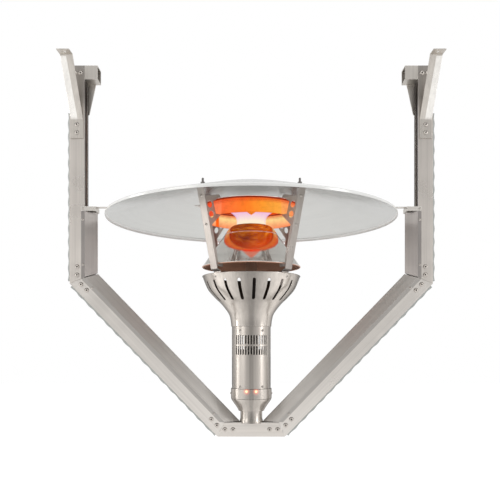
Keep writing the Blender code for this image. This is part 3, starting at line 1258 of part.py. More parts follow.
def make_burner():
    """Burner head in the cone's hole, with its mixer tube, air shutter, electrodes and spider plate."""
    t = BURNER_WALL
    seat = CONE_TOP_HEIGHT + CLEARANCE
    top = CONE_TOP_HEIGHT + BURNER_RISE + t
    floor = BURNER_LOW
    mouth = floor - BURNER_SOCKET
    radius = BURNER_RADIUS
    socket = MIXER_RADIUS + CLEARANCE
    bm = bmesh.new()
    turned(bm, [(0.0, top), (radius - t, top), (radius, top - t), (radius, seat + t),
                (BURNER_FLANGE, seat + t), (BURNER_FLANGE, seat), (radius, seat), (radius, floor),
                (socket + t, floor), (socket + t, mouth), (socket, mouth), (socket, floor + t),
                (radius - t, floor + t), (radius - t, top - t), (0.0, top - t)], FINE)
    burner = add_object("burner_head", bm, "hot_mesh", smooth=True)
    bm = bmesh.new()
    for centre in circle(PORT_RING, PORT_COUNT):
        slab(bm, circle(PORT_RADIUS, SMALL, centre), top - t - OVERRUN / 2, top + OVERRUN)
    for angle in ELECTRODE_ANGLES.values():
        centre = (outward(angle) * ELECTRODE_ORBIT)[:2]
        hole = circle(ELECTRODE_RADIUS + CLEARANCE, SMALL, centre)
        slab(bm, hole, seat - OVERRUN / 2, seat + t + OVERRUN / 2)
    cut(burner, bm)

    mixer_top = BURNER_LOW + t / 2
    bore = MIXER_RADIUS - MIXER_WALL
    bm = bmesh.new()
    throat = MIXER_LOW + MIXER_MOUTH_HEIGHT
    turned(bm, [(MIXER_MOUTH_RADIUS, MIXER_LOW), (MIXER_RADIUS, throat), (MIXER_RADIUS, mixer_top),
                (bore, mixer_top), (bore, throat), (MIXER_MOUTH_RADIUS - MIXER_WALL, MIXER_LOW)], FINE)
    mixer = add_object("mixer_tube", bm, "stainless", smooth=True)
    cut(mixer, port_cutter())

    ring = MIXER_RADIUS + SHUTTER_GAP
    outer = ring + SHUTTER_WALL
    bm = bmesh.new()
    turned(bm, [(outer, SHUTTER_LOW), (outer, SHUTTER_HIGH), (ring, SHUTTER_HIGH),
                (ring, SHUTTER_LOW)], FINE)
    shutter = add_object("air_shutter", bm, "brass", smooth=True)
    cut(shutter, port_cutter())
    bm = bmesh.new()
    half = SHUTTER_WALL / 2
    box(bm, (outer - half, -half, SHUTTER_HIGH - SHUTTER_TAB),
        (outer + SHUTTER_TAB, half, SHUTTER_HIGH - SHUTTER_WALL), radial_matrix(180 / MIXER_PORTS))
    cut(shutter, bm, "UNION")

    hub = MIXER_RADIUS + CLEARANCE
    rim = hub + SUPPORT_HUB
    high = SUPPORT_HEIGHT + SUPPORT_THICKNESS
    half = SUPPORT_SPOKE / 2
    bore = (HOUSING_RADIUS - HEAD_WALL) * math.cos(math.pi / ROUND) - CLEARANCE
    reach = math.sqrt(bore ** 2 - half ** 2)
    bm = bmesh.new()
    turned(bm, [(rim, SUPPORT_HEIGHT), (rim, high), (hub, high), (hub, SUPPORT_HEIGHT)], FINE)
    spider = add_object("mixer_support_spider", bm, "stainless", smooth=True)
    bm = bmesh.new()
    for angle in SUPPORT_ANGLES:
        box(bm, (rim - SUPPORT_HUB / 2, -half, SUPPORT_HEIGHT), (reach, half, high), radial_matrix(angle))
    cut(spider, bm, "UNION")

    tip = ELECTRODE_HIGH + ELECTRODE_TIP
    for name, angle in ELECTRODE_ANGLES.items():
        place = outward(angle) * ELECTRODE_ORBIT
        bm = bmesh.new()
        profile = [(0.0, ELECTRODE_LOW), (ELECTRODE_RADIUS, ELECTRODE_LOW),
                   (ELECTRODE_RADIUS, ELECTRODE_HIGH),
                   (ELECTRODE_TIP_RADIUS, ELECTRODE_HIGH + ELECTRODE_RADIUS),
                   (ELECTRODE_TIP_RADIUS, tip), (0.0, tip)]
        turned(bm, profile, SMALL, Matrix.Translation(place))
        add_object(name, bm, "ceramic", smooth=True)


def port_cutter():
    """Cutter for the air ports, which the tube and the shutter share when the shutter is open."""
    bm = bmesh.new()
    half = MIXER_PORT_WIDTH / 2
    for index in range(MIXER_PORTS):
        box(bm, (MIXER_RADIUS / 2, -half, MIXER_PORT_LOW), (MIXER_RADIUS + OVERRUN, half, MIXER_PORT_HIGH),
            radial_matrix(360 * index / MIXER_PORTS))
    return bm


def make_gas_train():
    """Chassis plate, gas valve with coil and plunger, injector and control board."""
    floor = CHASSIS_FLOOR
    deck = floor + CHASSIS_THICKNESS
    bm = bmesh.new()
    turned(bm, [(0.0, floor), (HOUSING_RADIUS - HEAD_WALL - 2 * CLEARANCE, floor),
                (HOUSING_RADIUS - HEAD_WALL - 2 * CLEARANCE, deck), (0.0, deck)], ROUND)
    add_object("chassis_plate", bm, "dark_strut", smooth=True)

    base = deck + CLEARANCE
    top = base + VALVE_HEIGHT
    front = -VALVE_DEPTH / 2 - VALVE_BACK_STEP
    bm = bmesh.new()
    box(bm, (-VALVE_WIDTH / 2, front, base), (VALVE_WIDTH / 2, front + VALVE_DEPTH, top))
    valve = add_object("gas_valve", bm, "aluminium", smooth=True)
    bm = bmesh.new()
    slab(bm, circle(OUTLET_RADIUS, FINE), top - OVERRUN, top + OUTLET_HEIGHT)
    cut(valve, bm, "UNION")
    bm = bmesh.new()
    coil_centre = (COIL_SIDE_STEP, -VALVE_BACK_STEP)
    slab(bm, circle(COIL_BORE, FINE // 2, coil_centre), top - PLUNGER_SINK - CLEARANCE, top + OVERRUN)
    cut(valve, bm)

    coil_high = top + COIL_HEIGHT
    axis = Matrix.Translation((*coil_centre, 0.0))
    bm = bmesh.new()
    turned(bm, [(COIL_RADIUS, top - CLEARANCE), (COIL_RADIUS, coil_high), (COIL_BORE, coil_high),
                (COIL_BORE, top - CLEARANCE)], FINE // 2, axis)
    cut(valve, bm, "UNION")
    radius = COIL_BORE - PLUNGER_CLEARANCE
    base_of_plunger = top - PLUNGER_SINK
    bm = bmesh.new()
    turned(bm, [(0.0, base_of_plunger), (radius, base_of_plunger), (radius, coil_high + PLUNGER_RISE),
                (0.0, coil_high + PLUNGER_RISE)], FINE // 2, axis)
    add_object("valve_plunger", bm, "screw_steel", smooth=True, origin=(*coil_centre, top))

    tip = INJECTOR_SEAT + INJECTOR_HEIGHT
    bm = bmesh.new()
    waist = INJECTOR_SEAT + INJECTOR_HEIGHT / 2
    turned(bm, [(0.0, INJECTOR_SEAT), (INJECTOR_RADIUS, INJECTOR_SEAT), (INJECTOR_RADIUS, waist),
                (INJECTOR_TIP_RADIUS, tip), (0.0, tip)], SMALL)
    add_object("gas_injector", bm, "brass", smooth=True)

    width, thick, height = BOARD_SIZE
    bm = bmesh.new()
    box(bm, (-width / 2, BOARD_STEP, base), (width / 2, BOARD_STEP + thick, base + height))
    board = add_object("control_board", bm, "board_green")
    bm = bmesh.new()
    for across, up, size in BOARD_PARTS_SHARE:
        x = across * width
        z = base + up * height
        half = size[0] / 2
        box(bm, (x - half, BOARD_STEP - size[1], z), (x + half, BOARD_STEP + thick / 2, z + size[2]))
    cut(board, bm, "UNION")


for label, side in SIDES.items():
    make_frame_side(label, side)
    make_top(label, side)
make_tray()
make_services()
make_neck()
make_housing()
make_bowl()
make_cone()
for label, azimuth in LEG_AZIMUTHS.items():
    make_leg(label, azimuth)
make_studs()
make_clamp_screw()
make_wing_nut()
make_emitter()
make_reflector()
make_burner()
make_gas_train()
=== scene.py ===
# %% [markdown]
# # A hanging patio heater in brushed steel
# A gas head hangs in a welded strut frame under a wide reflector. The frame, the covers and the hidden
# gas parts come from a measured model, which is loaded first and never changed. This script adds what
# the eye judges: round shells with fine edges, real slots, screws, glowing mesh, flame and metal finishes.
# Each step below says what the real piece is, how it could be made, and why this way was chosen.

# %% Load the measured model
import bmesh
import bpy
import math
from mathutils import Matrix, Vector


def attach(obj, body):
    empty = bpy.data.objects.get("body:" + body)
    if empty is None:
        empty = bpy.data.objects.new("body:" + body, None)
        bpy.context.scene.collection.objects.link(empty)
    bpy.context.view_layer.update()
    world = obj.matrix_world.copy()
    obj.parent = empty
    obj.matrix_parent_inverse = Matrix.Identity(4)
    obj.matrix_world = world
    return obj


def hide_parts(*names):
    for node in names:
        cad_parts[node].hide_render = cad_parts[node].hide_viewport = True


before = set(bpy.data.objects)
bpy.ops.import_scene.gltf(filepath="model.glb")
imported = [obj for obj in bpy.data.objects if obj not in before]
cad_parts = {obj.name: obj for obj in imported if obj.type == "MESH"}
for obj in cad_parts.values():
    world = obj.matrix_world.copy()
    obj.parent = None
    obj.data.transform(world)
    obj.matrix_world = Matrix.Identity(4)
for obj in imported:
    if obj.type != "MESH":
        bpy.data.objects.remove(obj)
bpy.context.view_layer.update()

# %% [markdown]
# ## The camera
# The photograph looks straight on at the heater from a little under two metres, level with the lower
# third of the frame. A tilted camera would make the arms lean, so the camera stays level and its lens is
# shifted up instead, as an architect's camera is. The shift is only what the framing needs.

# %% Place the camera
CAMERA_DISTANCE = 1.875
CAMERA_HEIGHT = 0.26844
camera_data = bpy.data.cameras.new("camera")
camera_data.lens = 46.08
camera_data.sensor_width = 36.0
camera_data.shift_x = -0.0026
camera_data.shift_y = 0.193
camera = bpy.data.objects.new("camera", camera_data)
camera.location = (0.0, -CAMERA_DISTANCE, CAMERA_HEIGHT)
camera.rotation_euler = (math.radians(90.0), 0.0, 0.0)
bpy.context.scene.collection.objects.link(camera)
bpy.context.scene.camera = camera
print("camera at", tuple(round(v, 3) for v in camera.location), "lens", camera_data.lens, "mm")

# %% [markdown]
# ## Tools for node trees
# Every look in this script is a small tree of shader nodes. These helpers start a material, add a node,
# feed it from a socket or a plain value, and wire what comes back everywhere: a product, a stretched range
# and the parts of a vector.

# %% Tools for node trees
def fresh_finish(name, plain):
    """A new material, its node tree and its shader, with plain values on the shader's own sockets."""
    made = bpy.data.materials.new(name)
    made.use_nodes = True
    shader = made.node_tree.nodes["Principled BSDF"]
    for socket_name, value in plain.items():
        shader.inputs[socket_name].default_value = value
    return made, made.node_tree, shader


def node(tree, kind, **settings):
    """A node with its properties set."""
    made = tree.nodes.new(kind)
    for key, value in settings.items():
        setattr(made, key, value)
    return made


def feed(tree, socket, value):
    """Gives an input a link from another socket, or a plain number, vector or colour."""
    if isinstance(value, bpy.types.NodeSocket):
        tree.links.new(value, socket)
    else:
        socket.default_value = value


def math_node(tree, operation, first, second=None, clamp=False):
    """A Math node: each operand is a socket or a number."""
    made = node(tree, "ShaderNodeMath", operation=operation, use_clamp=clamp)
    feed(tree, made.inputs[0], first)
    if second is not None:
        feed(tree, made.inputs[1], second)
    return made.outputs[0]


def times(tree, first, *others):
    """The product of two or more values."""
    for other in others:
        first = math_node(tree, "MULTIPLY", first, other)
    return first


def span(tree, value, low, high, start=0.0, end=1.0):
    """A value stretched from one range to another, and held at its ends."""
    made = node(tree, "ShaderNodeMapRange")
    feed(tree, made.inputs["Value"], value)
    feed(tree, made.inputs["From Min"], low)
    feed(tree, made.inputs["From Max"], high)
    feed(tree, made.inputs["To Min"], start)
    feed(tree, made.inputs["To Max"], end)
    return made.outputs["Result"]


def parts_of(tree, vector):
    """The three parts of a vector."""
    split = node(tree, "ShaderNodeSeparateXYZ")
    tree.links.new(vector, split.inputs[0])
    return split.outputs


print("node tools ready")

# %% [markdown]
# ## Floor, surroundings and lamps
# A product picture is lit by large soft lamps in a pale room. The floor is a real surface that catches
# the heater's shadow. The white of the background costs the object no extra light: the floor and the
# surroundings are only brighter for rays that come from the camera or from a shiny surface.

# %% Build the pale floor
FLOOR_DROP = 0.42
FLOOR_REACH = 9.0
FLOOR_LIFT = 0.52


def seen_or_mirrored(tree):
    """One value that is 1 for camera, glossy and transmission rays, and 0 for the rest."""
    rays = node(tree, "ShaderNodeLightPath").outputs
    seen = math_node(tree, "MAXIMUM", rays["Is Camera Ray"], rays["Is Glossy Ray"])
    return math_node(tree, "MAXIMUM", seen, rays["Is Transmission Ray"])


floor_mesh = bmesh.new()
bmesh.ops.create_grid(floor_mesh, x_segments=8, y_segments=8, size=FLOOR_REACH)
floor_data = bpy.data.meshes.new("floor")
floor_mesh.to_mesh(floor_data)
floor_mesh.free()
floor = bpy.data.objects.new("floor", floor_data)
floor.location = (0.0, 0.0, -FLOOR_DROP)
bpy.context.scene.collection.objects.link(floor)
floor_finish, tree, shader = fresh_finish("pale floor", {
    "Base Color": (0.80, 0.80, 0.80, 1.0), "Roughness": 0.9, "Specular IOR Level": 0.1,
    "Emission Color": (1.0, 1.0, 1.0, 1.0)})
tree.links.new(times(tree, seen_or_mirrored(tree), FLOOR_LIFT), shader.inputs["Emission Strength"])
floor_data.materials.append(floor_finish)
print("floor", FLOOR_DROP, "m below the tray")

# %% [markdown]
# White paper stands behind the heater, but behind the camera the room is dimmer. Round polished pieces
# show that as a darker band down their middle, so the world is dimmer that way for shiny surfaces.

# %% Set the surroundings
AMBIENT = 0.66
BEHIND_CAMERA = 0.56
DIM_PATCH = (-0.98, -0.72)
world = bpy.data.worlds.new("pale room")
world.use_nodes = True
bpy.context.scene.world = world
bpy.context.scene.view_settings.view_transform = "Standard"
tree = world.node_tree
background = tree.nodes["Background"]
background.inputs["Color"].default_value = (1.0, 1.0, 1.0, 1.0)
level = span(tree, seen_or_mirrored(tree), 0.0, 1.0, AMBIENT, 1.0)
ray_way = parts_of(tree, node(tree, "ShaderNodeTexCoord").outputs["Generated"])
dimmed = span(tree, ray_way["Y"], *DIM_PATCH, BEHIND_CAMERA, 1.0)
dimmed.node.interpolation_type = "SMOOTHSTEP"
room = node(tree, "ShaderNodeMix")
room.inputs["A"].default_value = 1.0
tree.links.new(node(tree, "ShaderNodeLightPath").outputs["Is Glossy Ray"], room.inputs["Factor"])
tree.links.new(dimmed, room.inputs["B"])
tree.links.new(times(tree, level, room.outputs["Result"]), background.inputs["Strength"])
print("surroundings at", AMBIENT, "for the light on the object")

# %% [markdown]
# The upright highlights on the head tell where the photographer's lamps stood: one far to the left, level
# with the head, one to the right of the camera and a weaker one to its left. A lamp's mirror image on a
# round shell lies halfway between the camera and the lamp, which gives each lamp's direction.

# %% Hang the soft lamps
def soft_lamp(name, place, aim, size, watts, colour):
    """A flat soft box that looks at a point."""
    data = bpy.data.lights.new(name, "AREA")
    data.shape = "RECTANGLE"
    data.size = size[0]
    data.size_y = size[1]
    data.energy = watts
    data.color = colour
    lamp = bpy.data.objects.new(name, data)
    lamp.location = place
    direction = Vector(aim) - Vector(place)
    lamp.rotation_euler = direction.to_track_quat("-Z", "Y").to_euler()
    bpy.context.scene.collection.objects.link(lamp)
    print(name, watts, "W")


HEAD = (0.0, 0.0, 0.45)
soft_lamp("left edge box", (-2.40, -0.10, 0.80), HEAD, (0.5, 1.8), 9.0, (1.0, 0.99, 0.97))
soft_lamp("left box", (-1.85, -1.60, 1.10), HEAD, (0.9, 1.8), 8.0, (1.0, 0.99, 0.97))
soft_lamp("right box", (2.15, -1.15, 0.95), HEAD, (0.6, 1.8), 12.0, (1.0, 0.99, 0.98))
soft_lamp("top box", (0.0, -0.60, 3.00), HEAD, (2.4, 1.6), 14.0, (1.0, 1.0, 1.0))

# %% [markdown]
# ## Effects that several finishes share
# Brushed grain, handling marks, worn edges, heat colours and punched holes all come back on many pieces.
# Each one is a node group with named sockets, so a finish only says how much of it to take. The groups
# give out masks, heights and colours; the shader itself stays in each material.

# %% Helpers for node groups
def node_group(name, inputs, outputs):
    """A shader node group with named sockets, given as (name, kind, default)."""
    tree = bpy.data.node_groups.new(name, "ShaderNodeTree")
    for socket_name, kind, default in inputs:
        socket = tree.interface.new_socket(socket_name, in_out="INPUT", socket_type=kind)
        if default is not None:
            socket.default_value = default
    for socket_name, kind in outputs:
        tree.interface.new_socket(socket_name, in_out="OUTPUT", socket_type=kind)
    return tree, tree.nodes.new("NodeGroupInput"), tree.nodes.new("NodeGroupOutput")


def grouped(tree, group, place, **values):
    """The outputs of a shared group, placed in a tree and fed with the place and its own values."""
    made = node(tree, "ShaderNodeGroup", node_tree=group)
    tree.links.new(place, made.inputs["Place"])
    for socket_name, value in values.items():
        made.inputs[socket_name].default_value = value
    return made.outputs


NUMBER = "NodeSocketFloat"
POINT = "NodeSocketVector"
COLOUR = "NodeSocketColor"
print("group helpers ready")

# %% Helpers for places, noise and colours
def place_on(tree):
    """The place on the object, in metres."""
    return node(tree, "ShaderNodeTexCoord").outputs["Object"]


def face_way(tree):
    """The parts of the way that each face looks."""
    return parts_of(tree, node(tree, "ShaderNodeNewGeometry").outputs["True Normal"])


def distance_from(tree, place, point):
    """How far each place lies from one point."""
    away = node(tree, "ShaderNodeVectorMath", operation="DISTANCE")
    away.inputs[1].default_value = point
    tree.links.new(place, away.inputs[0])
    return away.outputs["Value"]


def noise(tree, place, scale, detail=3.0, roughness=0.6):
    """Noise of so many cells to the metre, where the place is given in metres."""
    made = node(tree, "ShaderNodeTexNoise", noise_dimensions="3D")
    feed(tree, made.inputs["Vector"], place)
    feed(tree, made.inputs["Scale"], scale)
    made.inputs["Detail"].default_value = detail
    made.inputs["Roughness"].default_value = roughness
    return made.outputs[0]


def blended(tree, amount, first, second, kind="MIX"):
    """A colour mix: each side is a socket or a colour of three numbers."""
    made = node(tree, "ShaderNodeMix", data_type="RGBA", blend_type=kind)
    feed(tree, made.inputs["Factor"], amount)
    for name, value in (("A", first), ("B", second)):
        feed(tree, made.inputs[name], value if isinstance(value, bpy.types.NodeSocket) else (*value, 1.0))
    return made.outputs["Result"]


def painted_over(tree, amount, colour, kind="MIX"):
    """Mixes a colour over the one that feeds the tree's shader."""
    socket = tree.nodes["Principled BSDF"].inputs["Base Color"]
    tree.links.new(blended(tree, amount, socket.links[0].from_socket, colour, kind), socket)


def ramp(tree, value, *stops):
    """A colour ramp with stops of (position, colour)."""
    made = node(tree, "ShaderNodeValToRGB")
    feed(tree, made.inputs["Fac"], value)
    while len(made.color_ramp.elements) < len(stops):
        made.color_ramp.elements.new(0.5)
    for element, (position, colour) in zip(made.color_ramp.elements, stops):
        element.position = position
        element.color = (*colour, 1.0)
    return made.outputs["Color"]


NOISE_SWING = (0.3, 0.7)
print("noise mostly swings between", *NOISE_SWING)

# %% [markdown]
# ### Brushed grain
# An abrasive belt leaves hair lines: noise that is long one way and very short across it. A photo of
# brushed steel could do this, but stretched noise never repeats and its scale is in real metres. Three
# widths are mixed, because single hairs vanish at arm's length and the broad bands are what one sees.

# %% Group: brushed grain
GRAIN_SHARES = (0.12, 0.40, 0.48)
grain, grain_in, grain_out = node_group(
    "brushed grain", [("Place", POINT, None)], [("Height", NUMBER), ("Shade", NUMBER)])
place = grain_in.outputs["Place"]
hair = noise(grain, place, 1.0, 3.0, 0.65)
streak = noise(grain, place, 0.30, 2.0)
band = noise(grain, place, 0.09, 2.0)
weighed = [times(grain, value, share) for value, share in zip((hair, streak, band), GRAIN_SHARES)]
coarse = math_node(grain, "ADD", weighed[1], weighed[2])
grain.links.new(hair, grain_out.inputs["Height"])
grain.links.new(math_node(grain, "ADD", weighed[0], coarse), grain_out.inputs["Shade"])
print(grain.name, len(grain.nodes), "nodes")

# %% [markdown]
# ### Handling marks
# Sheet metal that people fit by hand is never even: cloudy smears and a few small specks change how it
# shines. Two sizes of noise are enough, one as wide as a palm and one as small as a water spot.

# %% Group: handling marks
SPECKS_TO_SMEAR = 38.0
marks, marks_in, marks_out = node_group(
    "handling marks", [("Place", POINT, None), ("Size", NUMBER, 9.0)],
    [("Smear", NUMBER), ("Specks", NUMBER)])
cloud = noise(marks, marks_in.outputs["Place"], marks_in.outputs["Size"], 4.0)
marks.links.new(cloud, marks_out.inputs["Smear"])
small = times(marks, marks_in.outputs["Size"], SPECKS_TO_SMEAR)
speck = noise(marks, marks_in.outputs["Place"], small, 2.0)
marks.links.new(span(marks, speck, 0.66, 0.80), marks_out.inputs["Specks"])
print(marks.name, len(marks.nodes), "nodes")

# %% [markdown]
# ### Worn edges
# Bends and cut edges are rubbed bright first. The Bevel node looks a short way round each point and turns
# the normal near an edge, so where it differs from the true normal there is an edge. The same turned
# normal also rounds the edge off for the light, which keeps sharp boxes from looking cut out of paper.

# %% Group: worn edges
EDGE_GAIN = 5.0
CHIP_CELLS = 320.0
CHIP_FLOOR = 0.25
edges, edges_in, edges_out = node_group(
    "worn edges", [("Place", POINT, None), ("Radius", NUMBER, 0.0012)],
    [("Mask", NUMBER), ("Normal", POINT)])
rounding = node(edges, "ShaderNodeBevel", samples=4)
edges.links.new(edges_in.outputs["Radius"], rounding.inputs["Radius"])
agree = node(edges, "ShaderNodeVectorMath", operation="DOT_PRODUCT")
edges.links.new(rounding.outputs["Normal"], agree.inputs[0])
edges.links.new(node(edges, "ShaderNodeNewGeometry").outputs["True Normal"], agree.inputs[1])
chips = math_node(edges, "ADD", noise(edges, edges_in.outputs["Place"], CHIP_CELLS), CHIP_FLOOR)
off_face = math_node(edges, "SUBTRACT", 1.0, agree.outputs["Value"])
turned_away = math_node(edges, "MULTIPLY", off_face, EDGE_GAIN, clamp=True)
edges.links.new(math_node(edges, "MULTIPLY", turned_away, chips, clamp=True), edges_out.inputs["Mask"])
edges.links.new(rounding.outputs["Normal"], edges_out.inputs["Normal"])
print(edges.name, len(edges.nodes), "nodes")

# %% [markdown]
# ### Heat colours
# Steel near a flame goes straw, then brown, then violet. The colour depends on how close the metal is to
# the fire, so the group reads the distance from a point inside the glowing ring and breaks it up a little.

# %% Group: heat colours
FIRE = (0.0, 0.0, 0.645)
HEAT_DRIFT = 0.05
DRIFT_CELLS = 22.0
STRAW, BROWN, VIOLET = (0.62, 0.56, 0.46), (0.36, 0.21, 0.11), (0.23, 0.14, 0.16)
heat, heat_in, heat_out = node_group(
    "heat colours", [("Place", POINT, None), ("Near", NUMBER, 0.10), ("Far", NUMBER, 0.20)],
    [("Amount", NUMBER), ("Colour", COLOUR)])
away = distance_from(heat, heat_in.outputs["Place"], FIRE)
drift = math_node(heat, "SUBTRACT", noise(heat, heat_in.outputs["Place"], DRIFT_CELLS), 0.5)
blurred = math_node(heat, "ADD", away, times(heat, drift, HEAT_DRIFT))
closeness = span(heat, blurred, heat_in.outputs["Near"], heat_in.outputs["Far"], 1.0, 0.0)
tints = ramp(heat, closeness, (0.0, STRAW), (0.55, BROWN), (1.0, VIOLET))
heat.links.new(closeness, heat_out.inputs["Amount"])
heat.links.new(tints, heat_out.inputs["Colour"])
print(heat.name, len(heat.nodes), "nodes")

# %% [markdown]
# ### Where a spun piece's lines run
# A spun or turned shell is polished while it turns, so its lines run round it. This group bends the
# measuring grid round the head's axis: along, across and up become way round, radius and height. The way
# round is 0 at the front, and grows to the right, in turns of half a circle.

# %% Group: round the axis
around, around_in, around_out = node_group(
    "round the axis", [("Place", POINT, None), ("Stretch", POINT, (1.0, 1.0, 1.0))],
    [("Place", POINT), ("Way", NUMBER), ("Out", NUMBER), ("Up", NUMBER)])
split = parts_of(around, around_in.outputs["Place"])
way = math_node(around, "ARCTAN2", split["X"], times(around, split["Y"], -1.0))
squares = [math_node(around, "POWER", split[axis], 2.0) for axis in ("X", "Y")]
out = math_node(around, "SQRT", math_node(around, "ADD", *squares))
joined = node(around, "ShaderNodeCombineXYZ")
for socket, value in zip(joined.inputs, (way, out, split["Z"])):
    around.links.new(value, socket)
scaled = node(around, "ShaderNodeVectorMath", operation="MULTIPLY")
around.links.new(joined.outputs[0], scaled.inputs[0])
around.links.new(around_in.outputs["Stretch"], scaled.inputs[1])
around.links.new(scaled.outputs[0], around_out.inputs["Place"])
around.links.new(math_node(around, "DIVIDE", way, math.pi), around_out.inputs["Way"])
around.links.new(out, around_out.inputs["Out"])
around.links.new(split["Z"], around_out.inputs["Up"])
print(around.name, len(around.nodes), "nodes")

# %% [markdown]
# ### Punched holes
# The glowing ring and the sides of the housing are perforated sheet. Thousands of real holes would be
# heavy, and at this size they read as dots, so the group lays a staggered grid of dots on the surface,
# counted round the head's axis and up it.

# %% Group: punched holes
HOLE_BLUR = 0.06
holes, holes_in, holes_out = node_group(
    "punched holes",
    [("Place", POINT, None), ("Around", NUMBER, 150.0), ("Pitch", NUMBER, 0.0045), ("Size", NUMBER, 0.34)],
    [("Hole", NUMBER)])
wrapped = grouped(holes, around, holes_in.outputs["Place"])
column = times(holes, wrapped["Way"], math_node(holes, "DIVIDE", holes_in.outputs["Around"], 2.0))
row = math_node(holes, "DIVIDE", wrapped["Up"], holes_in.outputs["Pitch"])
every_other = math_node(holes, "FLOORED_MODULO", math_node(holes, "FLOOR", row), 2.0)
staggered = math_node(holes, "ADD", column, times(holes, every_other, 0.5))
offsets = [math_node(holes, "SUBTRACT", math_node(holes, "FRACT", value), 0.5) for value in (staggered, row)]
squares = [math_node(holes, "POWER", value, 2.0) for value in offsets]
spread = math_node(holes, "SQRT", math_node(holes, "ADD", *squares))
inner = math_node(holes, "SUBTRACT", holes_in.outputs["Size"], HOLE_BLUR)
outer = math_node(holes, "ADD", holes_in.outputs["Size"], HOLE_BLUR)
holes.links.new(span(holes, spread, inner, outer, 1.0, 0.0), holes_out.inputs["Hole"])
print(holes.name, len(holes.nodes), "nodes")

# %% [markdown]
# ## Metal finishes
# Every sheet is stainless steel or aluminium, and what tells the pieces apart is how they were rubbed and
# how hot they get. One maker builds them all from the shared groups: base colour, roughness, the way the
# lines run, wear on the edges and a share of heat colour. Steel handled for years carries a thin film
# that scatters light, so a part of the surface is not mirror at all, and glancing light is dulled.

# %% Where the lines of a metal run
GRAIN_ALONG = 9.0
GRAIN_ACROSS = 900.0
GRAIN_TURN = 1.2


def lines_over(tree, place, lines, turned_by):
    """The place, stretched so that noise in it makes hairs along an axis, or "round" the head's axis."""
    if lines == "round":
        return grouped(tree, around, place, Stretch=(GRAIN_TURN, GRAIN_ACROSS, GRAIN_ACROSS))["Place"]
    mapping = node(tree, "ShaderNodeMapping", vector_type="TEXTURE")
    mapping.inputs["Rotation"].default_value = (0.0, math.radians(turned_by), 0.0)
    across = [1.0 / GRAIN_ACROSS] * 3
    across["xyz".index(lines)] = 1.0 / GRAIN_ALONG
    mapping.inputs["Scale"].default_value = across
    tree.links.new(place, mapping.inputs["Vector"])
    return mapping.outputs["Vector"]


print("hairs", round(1000.0 / GRAIN_ACROSS, 2), "mm wide")

# %% A maker for metals
FRONT_SHADE_TONE = 0.80
FRONT_SHADE_REACH = (0.022, 0.050)
WORN_GAIN = 1.30
WORN_LIFT = 0.06
WORN_MOST = 0.92
SPECK_DULLS = 0.02
HAIR_DEPTH = 0.0002


def metal(name, colour, roughness, lines="z", turned_by=0.0, shade=0.10, wear=0.5, heated=None,
          metallic=0.80, edge_tint=0.60, radius=0.0012, bump=0.06, smear=0.07, painted_fans=0.0):
    """A brushed metal. heated is how near and how far the heat colours reach, and their share. painted_fans
    is how strongly four bright fans of painted highlight lie round a turned piece, with a dark band of
    painted reflection down its front."""
    made, tree, shader = fresh_finish(name, {
        "Metallic": metallic, "Specular Tint": (edge_tint, edge_tint, edge_tint, 1.0)})
    place = place_on(tree)
    hairs = grouped(tree, grain, lines_over(tree, place, lines, turned_by))
    hands = grouped(tree, marks, place)
    rubbed = grouped(tree, edges, place, Radius=radius)
    tone = span(tree, hairs["Shade"], 0.35, 0.65, 1.0 - shade, 1.0 + shade)
    # Painted highlights and shade: four bright fans round the axis, and a dark band of painted reflection
    # down the front.
    if painted_fans:
        way = grouped(tree, around, place)["Way"]
        swing = math_node(tree, "COSINE", times(tree, way, 4.0 * math.pi))
        off_front = math_node(tree, "ABSOLUTE", way)
        tone = times(tree, tone, span(tree, swing, -1.0, 1.0, 1.0 + painted_fans, 1.0 - painted_fans),
                     span(tree, off_front, *FRONT_SHADE_REACH, FRONT_SHADE_TONE, 1.0))
    last = blended(tree, 1.0, colour, tone, "MULTIPLY")
    if heated:
        hot = grouped(tree, heat, place, Near=heated[0], Far=heated[1])
        last = blended(tree, times(tree, hot["Amount"], heated[2]), last, hot["Colour"])
    bright = [min(WORN_MOST, channel_shade * WORN_GAIN + WORN_LIFT) for channel_shade in colour]
    last = blended(tree, times(tree, rubbed["Mask"], wear), last, bright)
    tree.links.new(last, shader.inputs["Base Color"])
    shine = span(tree, hands["Smear"], *NOISE_SWING, max(0.03, roughness - smear), roughness + smear)
    dusty = math_node(tree, "ADD", shine, times(tree, hands["Specks"], SPECK_DULLS))
    tree.links.new(dusty, shader.inputs["Roughness"])
    relief = node(tree, "ShaderNodeBump")
    relief.inputs["Strength"].default_value = bump
    relief.inputs["Distance"].default_value = HAIR_DEPTH
    tree.links.new(hairs["Height"], relief.inputs["Height"])
    tree.links.new(rubbed["Normal"], relief.inputs["Normal"])
    tree.links.new(relief.outputs["Normal"], shader.inputs["Normal"])
    return made


def by_name(*made):
    """Finishes listed by their names."""
    return {finish.name: finish for finish in made}


print("a seam keeps", FRONT_SHADE_TONE, "of the steel's brightness")

